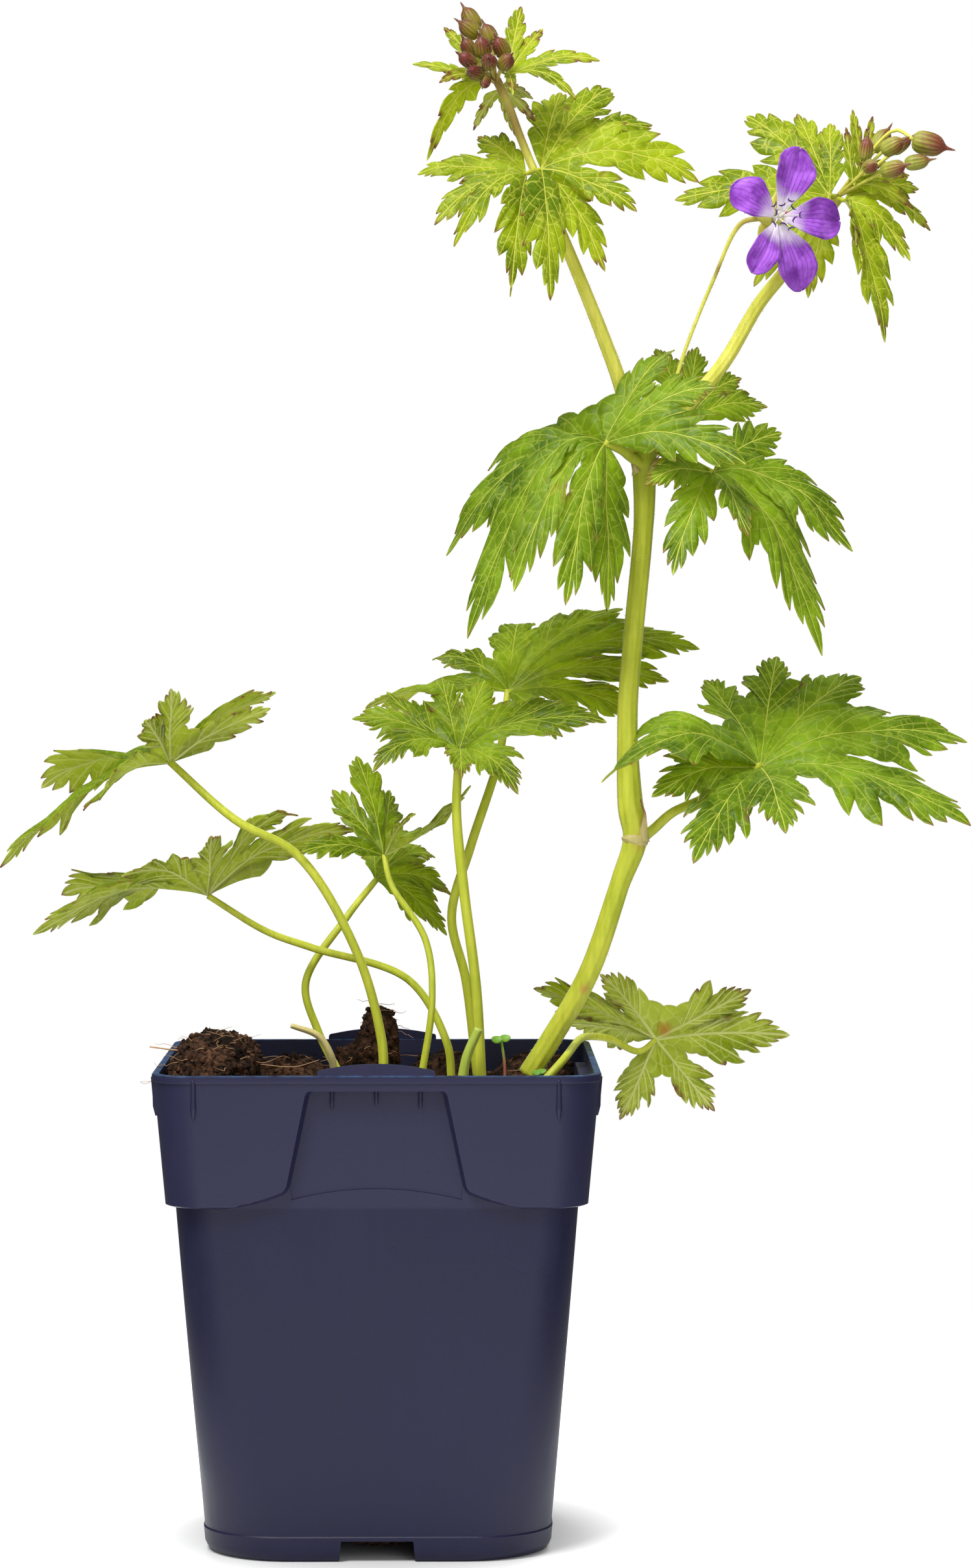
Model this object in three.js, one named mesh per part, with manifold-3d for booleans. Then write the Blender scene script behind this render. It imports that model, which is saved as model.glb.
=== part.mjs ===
// Hardy geranium with one open violet flower, growing in a square nursery pot.
// Millimetres, +Z up. The origin is the middle of the pot's underside.
import * as THREE from 'three';
import { mergeVertices } from 'three/addons/utils/BufferGeometryUtils.js';
import Module from 'manifold-3d';

const wasm = await Module();
wasm.setup();

// ---------- driving dimensions ----------

const POT_HEIGHT = 98.8;
const RIM_HALF = 45;
const RIM_DEPTH = 1.3;
const COLLAR_TOP_HALF = 44.75;
const COLLAR_BOTTOM_HALF = 42;
const COLLAR_BOTTOM = 72;
const BODY_TOP_HALF = 39.8;
const BODY_BOTTOM_HALF = 34.45;
const CORNER_TOP = 8;
const CORNER_BOTTOM = 17;
const BODY_LEVELS = [18, 36];
const WALL = 1.2;
const FLOOR_UNDERSIDE = 4.5;
const FOOT_RADIUS = 9;
const NOTCH_WIDTH = 14.5;
const NOTCH_HEIGHT = 4.3;
const NOTCH_REACH = 20;
const DRAIN_RADIUS = 3.5;
const DRAIN_OFFSET = 17;
const RECESS_TOP = 95.5;
const RECESS_TOP_HALF = 13;
const RECESS_BOTTOM_HALF = 17;
const TAB_HALF = 11.7;
const TAB_RISE_END = 1.2;
const TAB_RISE_MIDDLE = 2.4;
const RIB_OFFSET = 36.3;
const RIB_WIDTH = 1.1;
const RIB_LENGTH = 7.7;
const RIB_PROUD = 0.2;
const RIB_ROOT = 1.4;
const LINTEL_RIB_SPACING = 8.8;
const LINTEL_RIB_LENGTH = 3.4;
const LINTEL_RIB_WIDTH = 0.8;
const LINTEL_RIB_PROUD = 0.6;
// How far two shapes that become one solid reach into each other.
const WELD = 0.2;
// Half the side of a block that is wider than the whole pot.
const BEYOND = 60;

const SOIL_LEVEL = 91;
const GAP = 0.35;
const ROOTSTOCK = { centre: [12, -5, 89], radii: [25, 14.5, 14], top: 93.5 };
const ROOT_MAT = { centre: [-28.4, -14, 93], radii: [10.8, 20, 11.6] };
const PEAT_CLUMP = { centre: [-2.5, 22, 97.5], radii: [6.4, 6, 10] };
const MOUNDS = [
  { centre: [-14, 15, 88], radii: [7, 8, 8] },
  { centre: [30, 24, 88], radii: [11, 12, 8.5] },
  { centre: [-22, 30, 88], radii: [12, 7, 7] },
];

const LEAF_THICKNESS = 0.7;
const BRACT_THICKNESS = 0.5;
const LOBE_WIDTH = 0.25;
const LOBE_ROOM = 0.68;
const PETAL_THICKNESS = 0.5;

// ---------- colours ----------

const NAVY = 0x33365a;
const COMPOST = 0x2c1a12;
const ROOT_BROWN = 0x6b4a2c;
const STEM_GREEN = 0xa9b53c;
const LEAF_GREEN = 0x4f8424;
const FRESH_GREEN = 0x86ad2e;
const VIOLET = 0x6f3fc0;
const CREAM = 0xe6e2c8;
const BUD_PINK = 0x8c5350;
const BUD_GREEN = 0x98a153;
const PAPERY = 0xc99a86;

const part = new THREE.Group();

// ---------- solids ----------

const vector = ([x, y, z]) => new THREE.Vector3(x, y, z);

function meshOf(points, triangles) {
  const geometry = new THREE.BufferGeometry();
  const positions = points.flatMap((p) => [p.x, p.y, p.z]);
  geometry.setAttribute('position', new THREE.Float32BufferAttribute(positions, 3));
  geometry.setIndex(triangles.flat());
  return outward(geometry);
}

/** Turns the faces over where the enclosed volume comes out negative. */
function outward(geometry) {
  const index = geometry.index.array;
  const corner = (i) => new THREE.Vector3().fromBufferAttribute(geometry.attributes.position, i);
  let volume = 0;
  for (let i = 0; i < index.length; i += 3) {
    volume += corner(index[i]).dot(corner(index[i + 1]).cross(corner(index[i + 2])));
  }
  if (volume < 0) {
    for (let i = 0; i < index.length; i += 3) {
      [index[i + 1], index[i + 2]] = [index[i + 2], index[i + 1]];
    }
  }
  return geometry;
}

function solid(geometry) {
  const bare = geometry.clone();
  bare.deleteAttribute('normal');
  bare.deleteAttribute('uv');
  const merged = outward(mergeVertices(bare));
  const vertProperties = new Float32Array(merged.attributes.position.array);
  const triVerts = new Uint32Array(merged.index.array);
  return new wasm.Manifold(new wasm.Mesh({ numProp: 3, vertProperties, triVerts }));
}

function geometryOf(manifold) {
  const { vertProperties, triVerts } = manifold.getMesh();
  const geometry = new THREE.BufferGeometry();
  geometry.setAttribute('position', new THREE.Float32BufferAttribute(vertProperties, 3));
  geometry.setIndex([...triVerts]);
  return geometry;
}

const joined = (geometries) => geometries.map(solid).reduce((whole, next) => whole.add(next));

/** The largest body alone, without the slivers that a sharp fold in a thin sheet can leave. */
const mainBody = (whole) => whole.decompose().reduce((a, b) => (b.volume() > a.volume() ? b : a));

function addPart(name, geometry, color, roughness = 0.6) {
  const material = new THREE.MeshStandardMaterial({ color, roughness, metalness: 0 });
  const shown = geometry.isBufferGeometry ? geometry : geometryOf(geometry);
  shown.computeVertexNormals();
  const mesh = new THREE.Mesh(shown, material);
  mesh.name = name;
  part.add(mesh);
}

/** Skins a row of rings that have equally many points, and closes both ends. */
function loft(rings) {
  const count = rings[0].length;
  const points = rings.flat();
  const triangles = [];
  for (let r = 0; r + 1 < rings.length; r++) {
    for (let i = 0; i < count; i++) {
      const a = r * count + i;
      const b = r * count + ((i + 1) % count);
      triangles.push([a, b, a + count], [b, b + count, a + count]);
    }
  }
  const last = (rings.length - 1) * count;
  for (let i = 1; i + 1 < count; i++) {
    triangles.push([0, i + 1, i], [last, last + i, last + i + 1]);
  }
  return meshOf(points, triangles);
}

/** A round stalk along a smooth line through the points; radii are spread evenly along it. */
function stalk(points, radii, { sides = 6, steps = 12, squash = 1 } = {}) {
  const curve = new THREE.CatmullRomCurve3(points.map(vector), false, 'centripetal');
  const frames = curve.computeFrenetFrames(steps);
  const rings = frames.tangents.map((_, k) => {
    const place = (k / steps) * (radii.length - 1);
    const low = Math.min(Math.floor(place), radii.length - 2);
    const radius = THREE.MathUtils.lerp(radii[low], radii[low + 1], place - low);
    const centre = curve.getPointAt(k / steps);
    return Array.from({ length: sides }, (_unused, i) => {
      const turn = (i / sides) * 2 * Math.PI;
      return centre.clone()
        .addScaledVector(frames.normals[k], Math.cos(turn) * radius)
        .addScaledVector(frames.binormals[k], Math.sin(turn) * radius * squash);
    });
  });
  return loft(rings);
}

function lump(centre, radii, around = 12, high = 8) {
  return new THREE.SphereGeometry(1, around, high).scale(...radii).translate(...centre);
}

function block(low, high) {
  const size = high.map((value, i) => value - low[i]);
  const middle = high.map((value, i) => (value + low[i]) / 2);
  return new THREE.BoxGeometry(...size).translate(...middle);
}

const onFourSides = (geometry) =>
  [0, 1, 2, 3].map((quarter) => geometry.clone().rotateZ((quarter * Math.PI) / 2));

// ---------- pot ----------

const bodyHalf = (z) => THREE.MathUtils.mapLinear(z, 0, COLLAR_BOTTOM, BODY_BOTTOM_HALF, BODY_TOP_HALF);
const collarHalf = (z) =>
  THREE.MathUtils.mapLinear(z, COLLAR_BOTTOM, POT_HEIGHT, COLLAR_BOTTOM_HALF, COLLAR_TOP_HALF);
const cornerAt = (z) =>
  CORNER_TOP + (CORNER_BOTTOM - CORNER_TOP) * Math.max(0, 1 - z / COLLAR_BOTTOM) ** 2;

/** Level outline of the pot at height z: a square with round corners. */
function potRing(half, z, inset = 0, cornerSteps = 4) {
  const radius = cornerAt(z) - inset;
  const middle = half - inset - radius;
  const ring = [];
  for (let quarter = 0; quarter < 4; quarter++) {
    for (let step = 0; step <= cornerSteps; step++) {
      const turn = ((quarter + step / cornerSteps) * Math.PI) / 2;
      const cornerX = middle * (quarter === 0 || quarter === 3 ? 1 : -1);
      const cornerY = middle * (quarter < 2 ? 1 : -1);
      ring.push(new THREE.Vector3(cornerX + radius * Math.cos(turn), cornerY + radius * Math.sin(turn), z));
    }
  }
  return ring;
}

/** Everything inside the wall's face at the given inset, from low to high, with the collar's step. */
function potSpace(inset, low, high, step) {
  const ledge = 0.01;
  const levels = [low, ...BODY_LEVELS, step].map((z) => potRing(bodyHalf(z), z, inset));
  const upper = [step + ledge, high].map((z) => potRing(collarHalf(z), z, inset));
  return loft([...levels, ...upper]);
}

/** The trapezoid panel where the collar is pressed back to just proud of the body's plane. */
function recessBlock(grow) {
  const proud = 0.02;
  const below = 0.1;
  const rows = [
    [COLLAR_BOTTOM - below - grow, RECESS_BOTTOM_HALF + grow],
    [RECESS_TOP + grow, RECESS_TOP_HALF + grow],
  ];
  const rings = rows.map(([z, half]) => {
    const face = bodyHalf(z) + proud - grow;
    return [[-half, -BEYOND], [half, -BEYOND], [half, -face], [-half, -face]]
      .map(([x, y]) => new THREE.Vector3(x, y, z));
  });
  return loft(rings);
}

function rimTab() {
  const outline = new THREE.Shape();
  outline.moveTo(-TAB_HALF, POT_HEIGHT - RIM_DEPTH);
  outline.lineTo(TAB_HALF, POT_HEIGHT - RIM_DEPTH);
  outline.lineTo(TAB_HALF, POT_HEIGHT + TAB_RISE_END);
  const crown = POT_HEIGHT + 2 * TAB_RISE_MIDDLE - TAB_RISE_END;
  outline.quadraticCurveTo(0, crown, -TAB_HALF, POT_HEIGHT + TAB_RISE_END);
  const plate = new THREE.ExtrudeGeometry(outline, { depth: WALL, bevelEnabled: false, curveSegments: 6 });
  return plate.rotateX(Math.PI / 2).translate(0, -RIM_HALF + WALL + WELD / 2, 0);
}

/** An upright rib on each side of the pot, at x along that side. */
const ribsAt = (x, width, face, root, low, high) =>
  onFourSides(block([x - width / 2, face, low], [x + width / 2, root, high]));

function potRibs() {
  const top = POT_HEIGHT - RIM_DEPTH + WELD;
  const face = -COLLAR_TOP_HALF - RIB_PROUD;
  const root = -COLLAR_TOP_HALF + RIB_ROOT;
  const corner = [-RIB_OFFSET, RIB_OFFSET].flatMap((x) =>
    ribsAt(x, RIB_WIDTH, face, root, top - RIB_LENGTH, top));
  const lintelFace = -bodyHalf(RECESS_TOP) - LINTEL_RIB_PROUD;
  const lintel = [-LINTEL_RIB_SPACING, 0, LINTEL_RIB_SPACING].flatMap((x) =>
    ribsAt(x, LINTEL_RIB_WIDTH, lintelFace, lintelFace + RIB_ROOT,
      RECESS_TOP - LINTEL_RIB_LENGTH, RECESS_TOP + WELD));
  return [...corner, ...lintel];
}

function makePot() {
  const rimUnderside = POT_HEIGHT - RIM_DEPTH;
  const rim = loft([rimUnderside, POT_HEIGHT].map((z) => potRing(RIM_HALF, z)));
  let outside = joined([potSpace(0, 0, rimUnderside + WELD, COLLAR_BOTTOM), rim]);
  let inside = solid(potSpace(WALL, FLOOR_UNDERSIDE + WALL, POT_HEIGHT + WALL, COLLAR_BOTTOM + WALL));
  onFourSides(recessBlock(0)).forEach((panel) => { outside = outside.subtract(solid(panel)); });
  onFourSides(recessBlock(WALL)).forEach((panel) => { inside = inside.subtract(solid(panel)); });
  const underside = [-WALL, FLOOR_UNDERSIDE];
  const hollowUnder = loft(underside.map((z) => potRing(bodyHalf(0), 0, WALL).map((p) => p.setZ(z))));
  const notch = block(
    [-NOTCH_WIDTH / 2, -RIM_HALF, -WALL],
    [NOTCH_WIDTH / 2, -RIM_HALF + NOTCH_REACH, NOTCH_HEIGHT],
  );
  const drain = new THREE.CylinderGeometry(DRAIN_RADIUS, DRAIN_RADIUS, 6 * WALL, 10)
    .rotateX(Math.PI / 2).translate(DRAIN_OFFSET, DRAIN_OFFSET, FLOOR_UNDERSIDE);
  const footHeight = FLOOR_UNDERSIDE + WELD;
  const foot = new THREE.CylinderGeometry(FOOT_RADIUS, FOOT_RADIUS, footHeight, 20)
    .rotateX(Math.PI / 2).translate(0, 0, footHeight / 2);
  let pot = outside.subtract(inside).subtract(solid(hollowUnder));
  [...onFourSides(notch), ...onFourSides(drain)].forEach((hole) => { pot = pot.subtract(solid(hole)); });
  const tabs = [rimTab(), rimTab().rotateZ(Math.PI)];
  [foot, ...potRibs(), ...tabs].forEach((piece) => { pot = pot.add(solid(piece)); });
  return pot;
}

// ---------- soil, rootstock and what lies on the soil ----------

const grownRadii = ROOTSTOCK.radii.map((radius) => radius + GAP);

function makeSoil() {
  const inset = WALL + GAP;
  let soil = solid(potSpace(inset, FLOOR_UNDERSIDE + inset, SOIL_LEVEL, COLLAR_BOTTOM + inset));
  onFourSides(recessBlock(inset)).forEach((panel) => { soil = soil.subtract(solid(panel)); });
  MOUNDS.forEach(({ centre, radii }) => { soil = soil.add(solid(lump(centre, radii))); });
  return soil.subtract(solid(lump(ROOTSTOCK.centre, grownRadii, 16, 10)));
}

function makeRootstock() {
  const above = block([-BEYOND, -BEYOND, ROOTSTOCK.top], [BEYOND, BEYOND, 2 * ROOTSTOCK.top]);
  return solid(lump(ROOTSTOCK.centre, ROOTSTOCK.radii, 16, 10)).subtract(solid(above));
}

/** A lump that lies on the compost, cut off level just above it. */
function clod({ centre, radii }) {
  const floor = block([-BEYOND, -BEYOND, 0], [BEYOND, BEYOND, SOIL_LEVEL + GAP]);
  return solid(lump(centre, radii, 10, 8)).subtract(solid(floor));
}

// ---------- leaves ----------

// Along a lobe, from the leaf's middle (0) to the lobe's tip (1).
const MIDRIB_STOPS = [0.3, 0.55, 0.78];
const SINUS_STOP = 0.36;
const LOBE_OUTLINE = [[0.52, 0.66], [0.74, 1], [0.77, 0.5]];

/**
 * A palmate blade as a thin closed solid. Each lobe is [x, y, z of its tip, bow, width]: the bow
 * lifts the middle of its midrib above the straight line, and the width is the half-width as a
 * share of the lobe's length. Lobes are in order around the leaf.
 */
function blade(at, lobes, thickness) {
  const middle = vector(at);
  const tips = lobes.map(vector);
  const reach = tips.map((tip) => tip.clone().sub(middle));
  const onMidrib = (i, s) => middle.clone()
    .addScaledVector(reach[i], s)
    .add(new THREE.Vector3(0, 0, 4 * (lobes[i][3] ?? 0) * s * (1 - s)));
  const across = tips.map((tip, i) => {
    const next = tips[Math.min(i + 1, tips.length - 1)];
    const previous = tips[Math.max(i - 1, 0)];
    const along = reach[i].clone().normalize();
    const side = next.clone().sub(previous);
    return side.addScaledVector(along, -side.dot(along)).normalize();
  });
  const points = [middle];
  const triangles = [];
  const rim = [0];
  const add = (point) => points.push(point) - 1;
  const angle = (i, j) => (reach[j] ? reach[i].angleTo(reach[j]) : Math.PI / 2);
  // A lobe stays on its own side of the line halfway to the next one.
  const halfWidth = (i) => {
    const room = LOBE_ROOM * Math.tan(Math.min(angle(i, i - 1), angle(i, i + 1)) / 2);
    return Math.min(lobes[i][4] ?? LOBE_WIDTH, room) * reach[i].length();
  };
  const openSide = (i, sign) => add(onMidrib(i, SINUS_STOP)
    .addScaledVector(across[i], sign * 0.5 * halfWidth(i)));
  const sinuses = tips.slice(1).map((_, i) => add(
    onMidrib(i, SINUS_STOP).add(onMidrib(i + 1, SINUS_STOP)).multiplyScalar(0.5)));
  const bases = [openSide(0, -1), ...sinuses, openSide(tips.length - 1, 1)];
  tips.forEach((tip, i) => {
    const ribs = MIDRIB_STOPS.map((s) => add(onMidrib(i, s)));
    const end = add(tip);
    const edges = [-1, 1].map((sign) => LOBE_OUTLINE.map(([s, wide]) => add(onMidrib(i, s)
      .addScaledVector(across[i], sign * wide * halfWidth(i)))));
    edges.forEach((edge, right) => {
      const base = bases[i + right];
      const faces = [
        [0, ribs[0], base], [ribs[0], edge[0], base], [ribs[0], ribs[1], edge[0]],
        [ribs[1], edge[1], edge[0]], [ribs[1], edge[2], edge[1]], [ribs[1], ribs[2], edge[2]],
        [ribs[2], end, edge[2]],
      ];
      triangles.push(...faces.map((face) => (right ? [...face].reverse() : face)));
    });
    rim.push(bases[i], ...edges[0], end, ...[...edges[1]].reverse());
  });
  rim.push(bases[tips.length]);
  return thickened(points, triangles, rim, thickness);
}

/** Gives a sheet its thickness, half to each side, and closes it along its rim. */
function thickened(points, triangles, rim, thickness) {
  const normals = points.map(() => new THREE.Vector3());
  triangles.forEach(([a, b, c]) => {
    const edge = points[b].clone().sub(points[a]);
    const face = edge.cross(points[c].clone().sub(points[a]));
    [a, b, c].forEach((corner) => normals[corner].add(face));
  });
  const shift = (sign) => points.map((p, i) => p.clone()
    .addScaledVector(normals[i].clone().normalize(), (sign * thickness) / 2));
  const count = points.length;
  const under = triangles.map(([a, b, c]) => [a + count, c + count, b + count]);
  const edges = new Set(triangles.flatMap(([a, b, c]) => [`${a},${b}`, `${b},${c}`, `${c},${a}`]));
  const wall = rim.flatMap((start, i) => {
    const end = rim[(i + 1) % rim.length];
    const [a, b] = edges.has(`${start},${end}`) ? [start, end] : [end, start];
    return [[b, a, a + count], [b, a + count, b + count]];
  });
  return meshOf([...shift(1), ...shift(-1)], [...triangles, ...under, ...wall]);
}

/** A leaf with its stalk; the stalk's last point is the middle of the leaf. */
function leaf({ at, lobes, from, radius = 0.8, steps = 10 }) {
  const stem = stalk([...from, at], [radius, radius, radius * 0.8], { steps });
  return mainBody(joined([blade(at, lobes, LEAF_THICKNESS), stem]));
}

const BASAL_LEAVES = {
  basal_leaf_upper_left: {
    at: [-43.5, -4, 160.5],
    from: [[1, -8, 94], [0.5, -8, 103], [-4.5, -9, 121], [-16.5, -10, 141], [-29.5, -10, 148.5]],
    radius: 1.1,
    steps: 14,
    lobes: [
      [-22, -10, 171, 1], [-39, -20, 173, 0], [-47, -25, 169, 1], [-60, -21, 151, 3],
      [-77.5, -12, 138.5, 5], [-71, 8, 154.5, 4], [-52, 24, 160, 3], [-31, 19, 165, 3], [-22, 8, 175, 2],
    ],
  },
  basal_leaf_lower_left: {
    at: [-35.5, -3, 132.5],
    from: [[15, -4, 94], [14, -4, 102], [6, -2, 115], [-14, 0, 121.5], [-23.5, -1, 125]],
    radius: 0.9,
    steps: 14,
    lobes: [
      [-5, 8, 146, 4], [-17, -1, 149.5, 5], [-34, -19, 145.5, 1], [-52, -24, 138, 3],
      [-71, -10, 124.5, 5], [-67, 10, 132, 3], [-44, 24, 138, 2], [-20, 19, 142, 3],
    ],
  },
  basal_leaf_small_front: {
    at: [1, -4, 141],
    from: [[8.5, -14, 94], [11, -13, 112], [9.5, -9, 124], [2.5, -6, 135]],
    radius: 0.7,
    lobes: [
      [-16, -12, 141.5, 2], [-10, 6, 154, 1], [-5, 10, 161, 2], [2, 13, 154, 1],
      [10.5, 10, 146, 1], [19, -2, 155.5, -2], [7, -15, 149, 2],
    ],
  },
  basal_leaf_small_back: {
    at: [-1, 12, 135],
    from: [[-8, 3, 94], [-13, 4, 104], [-15.5, 4, 114], [-7, 7, 127.5]],
    radius: 0.8,
    lobes: [[-1.5, 23, 140.5, 2], [7, 27, 142, 2], [11.5, 20, 139, 3], [15, 13, 131.5, 3], [14, 5, 123.5, 3]],
  },
  basal_leaf_young: {
    at: [16.5, -8, 162],
    from: [[21, -12, 94], [20, -12, 114], [17.5, -12, 134], [16, -10.5, 150]],
    radius: 1.3,
    lobes: [
      [-1, -18, 158, 5], [-5.5, -4, 169, 3], [1.5, 4, 174.5, 0], [13, 8, 177.5, 0], [22, 6, 177, 1],
      [38, 2, 172.5, 2], [47, -8, 168.5, 4], [28.5, -24, 154, 4], [17, -22, 157, 3],
    ],
  },
  basal_leaf_tall_back: {
    at: [27, 16, 175],
    from: [[20.5, 4, 94], [18, 3, 114.5], [15, 2, 128], [19, 5, 142.5], [25, 11, 161]],
    radius: 0.95,
    lobes: [
      [-3, 8, 171, 8], [11, 26, 181, 4], [30, 40, 189, 4], [52, 34, 192.5, 4],
      [68, 25, 184, 6], [61, 15, 177, 4], [54, 8, 169, 3], [37, 5, 164.5, 2],
    ],
  },
  basal_leaf_low_right: {
    at: [59, 28, 100],
    from: [
      [34.2, -6, 94.3], [37.8, -4, 98], [42, 10, 101.5], [44.5, 18, 101.5], [49, 24, 100.5],
      [55.5, 28, 97.5],
    ],
    radius: 0.8,
    lobes: [
      [40, 51, 101.5, 1], [33, 43, 110, 1], [47, 36, 113.5, 1], [79, 24, 111, 0],
      [87, 20, 101.5, 1], [71.5, 24, 85, 0], [51.5, 31, 82.5, 0],
    ],
  },
};

const STEM_LEAVES = {
  stem_leaf_big_right: {
    at: [79.5, 2, 159.5],
    from: [[56.2, -5, 145.5], [60, -6, 149.5], [68, -2, 153]],
    radius: 1.2,
    lobes: [
      [56, -14, 153.5, 2], [64, -24, 140, 3], [82.5, -26, 145.5, 3], [122, -10, 147, 4],
      [124, 14, 164, 5], [103, 29, 178, 3], [85, 32, 181.5, 2], [69, 25, 177, 2], [45.5, -19, 156, 8, 0.2],
    ],
  },
  stem_leaf_upper_left: {
    at: [46.5, -9, 226],
    from: [[52, -4, 223.5], [50, -6.5, 224.8]],
    radius: 1,
    steps: 4,
    lobes: [
      [47, -15, 191, 5], [38, -23, 192.5, 6], [27.5, -20, 195.5, 8], [18.5, -12, 185.5, 14],
      [14, -1, 203, 8], [26, 8, 222, 4], [61, -5, 245.5, 3], [69.5, -12, 237, 3], [75, -19, 221, 4],
    ],
  },
  stem_leaf_upper_right: {
    at: [69, -4, 220],
    from: [[57.8, -1, 222.3], [63, -2, 222.5]],
    radius: 1,
    steps: 4,
    lobes: [
      [54.5, -13, 217, 2], [60, -18, 198.5, 3], [75.5, -19, 206.5, 3], [91.5, -10, 182.5, 9],
      [98.5, 0, 204, 6], [92, 9, 216, 3], [84.5, 13, 229, 2],
    ],
  },
  stem_leaf_upper_back: {
    at: [64, 8, 231],
    from: [[57, 3.6, 223.8], [60, 6.4, 227.6]],
    radius: 0.7,
    steps: 4,
    lobes: [[58, 14, 247, 2], [67, 17, 247.5, 1], [76.5, 18, 241, 2], [82, 17, 235, 2]],
  },
  branch_leaf_left: {
    at: [29.5, -9.5, 281],
    from: [[31.2, -9, 281.3], [30.4, -9.3, 281.2]],
    radius: 0.7,
    steps: 3,
    lobes: [
      [20.5, 4, 290, 1], [8, -4, 281, 2], [11.5, -12, 270, 4], [15.5, -18, 265.5, 5],
      [27, -25, 256.5, 4], [27, -14, 255.5, 4],
    ],
  },
  branch_leaf_right: {
    at: [35.5, -8.5, 282],
    from: [[33.9, -8.4, 282], [34.6, -8.4, 282]],
    radius: 0.7,
    steps: 3,
    lobes: [
      [38, 12, 300.5, 2], [48.5, 13, 301.5, 3], [57, 7, 293, 3], [66, -8, 279.5, 5],
      [53, -14, 273, 2], [46.5, -12, 261, 3], [35, -25, 254, 4],
    ],
  },
  right_branch_leaf_left: {
    at: [91.4, -3, 277.5],
    from: [[93.3, -2, 277.6], [92.3, -2.5, 277.5]],
    radius: 0.7,
    steps: 3,
    lobes: [
      [88.5, -8, 255.5, 2], [77.5, -4, 258.5, 2], [62, 10, 277.5, 2], [74, 16, 293, 2],
      [79, 20, 297, 2], [88.5, 18, 296.5, 1], [94, 13, 294, 1, 0.18],
    ],
  },
  right_branch_leaf_right: {
    at: [98.5, -1.5, 275.5],
    from: [[96.6, -1, 276], [97.4, -1.2, 275.8]],
    radius: 0.7,
    steps: 3,
    lobes: [
      [99, -13, 263, 2], [104.5, -10, 247, 5], [109.5, -4, 263.5, 3], [115, 3, 271, 4], [113, 10, 280, 2],
    ],
  },
};

const BRACTS = {
  left_head_bract_left: {
    at: [22.2, -9.6, 299.4],
    lobes: [[13.5, 4, 313, 1, 0.16], [7, -6, 304, 1], [12.5, -15, 299, 2], [10, -12, 283.5, 5]],
  },
  left_head_bract_right: {
    at: [26.5, -9, 301],
    lobes: [
      [29.5, 2, 317, 1], [34, 0, 312, 1], [45.5, -8, 304.5, 2], [40.5, -13, 296, 3],
      [27.5, -18, 296, 2],
    ],
  },
  left_head_bract_back: {
    at: [25, -6.1, 298.8],
    lobes: [[19.5, -1, 291, 1], [28.5, 2, 290, 1], [32.5, 1, 293, 1], [32, 3, 298, 1]],
  },
  right_head_bract: {
    at: [100.5, 3, 282.5],
    lobes: [[98.5, 4.5, 296, 0], [103, 7, 295, 0], [106.5, 8, 285, 1]],
  },
  stipules_lower: {
    at: [55.8, -7.6, 143],
    lobes: [[49.5, -9.6, 144, 0.5], [54.3, -8.3, 152.5, 0]],
  },
  stipules_upper: {
    at: [54.5, -3.3, 219.5],
    lobes: [[52.3, -4, 222.4, 0], [56, -4.2, 223.4, 0]],
  },
};

// ---------- stems ----------

const MAIN_STEM = [
  [31, 0, 95], [36, -1, 103], [43.5, -3, 116.5], [50, -5, 135.5], [53, -5, 144.5],
  [52, -4, 152], [51.5, -3, 170.5], [52.5, -2, 184], [55, 0, 211], [55, 0, 223.6],
];
const MAIN_STEM_RADII = [2.2, 2.1, 2.1, 2, 2.6, 2.1, 2, 2, 2, 2.4];
const LEFT_BRANCH = [
  [53.6, -0.3, 224.6], [50, -1, 238.5], [46.5, -2, 248], [39, -5, 266], [32, -7, 282],
  [29.5, -7, 288], [26, -8, 297], [24, -8, 301],
];
const LEFT_BRANCH_RADII = [1.9, 1.5, 1.4, 1.4, 1.6, 1.1, 1, 1.2];
const RIGHT_BRANCH = [
  [56.5, 0.8, 224.8], [62.5, 2, 232.5], [71.5, 3, 243], [79, 3, 255.5], [84.5, 2, 262.5], [95, 0, 277.5],
];
const RIGHT_BRANCH_RADII = [1.6, 1.4, 1.4, 1.3, 1.3, 1.4];
const FLOWER_STALK = [
  [55.8, -2.2, 226], [58.6, -1.8, 233], [61.5, 0.5, 239.5], [64, 0, 247], [69, -3, 259.5],
  [74.5, -9, 271], [78.5, -11, 272],
];
const FLOWER_STALK_RADII = [0.5, 0.45, 0.45, 0.5, 0.8];

/** Foot, beak and radius of each closed bud, and a point that its ray arches over, if any. */
const LEFT_BUDS = [
  [[20.4, -3, 311.6], [16.9, -2, 317.3], 1.7],
  [[20.6, -7.2, 309.6], [15.6, -8, 313.1], 1.7],
  [[23.6, -9.6, 307.6], [21.2, -9.2, 312.8], 1.6],
  [[26.2, -11, 304.8], [23.6, -13.6, 309.4], 1.6],
  [[19.6, -9.6, 304.8], [16.9, -12, 309.4], 1.5],
  [[21.8, -12.8, 304.4], [20.6, -15, 309.4], 1.6],
  [[19.8, -13.6, 302.6], [15.8, -16.2, 305.2], 1.4],
  [[22.8, -14.4, 302.6], [22.4, -20, 303.6], 1.6],
  [[25.2, -13.6, 302.2], [27.6, -17.6, 304.8], 1.5],
  [[21, -13.4, 301], [18, -19.4, 300.8], 1.5],
  [[22.4, -14.4, 300], [21.2, -17.6, 297.4], 1],
];
const LEFT_HEAD = [24.1, -8.1, 299.9];
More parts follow.
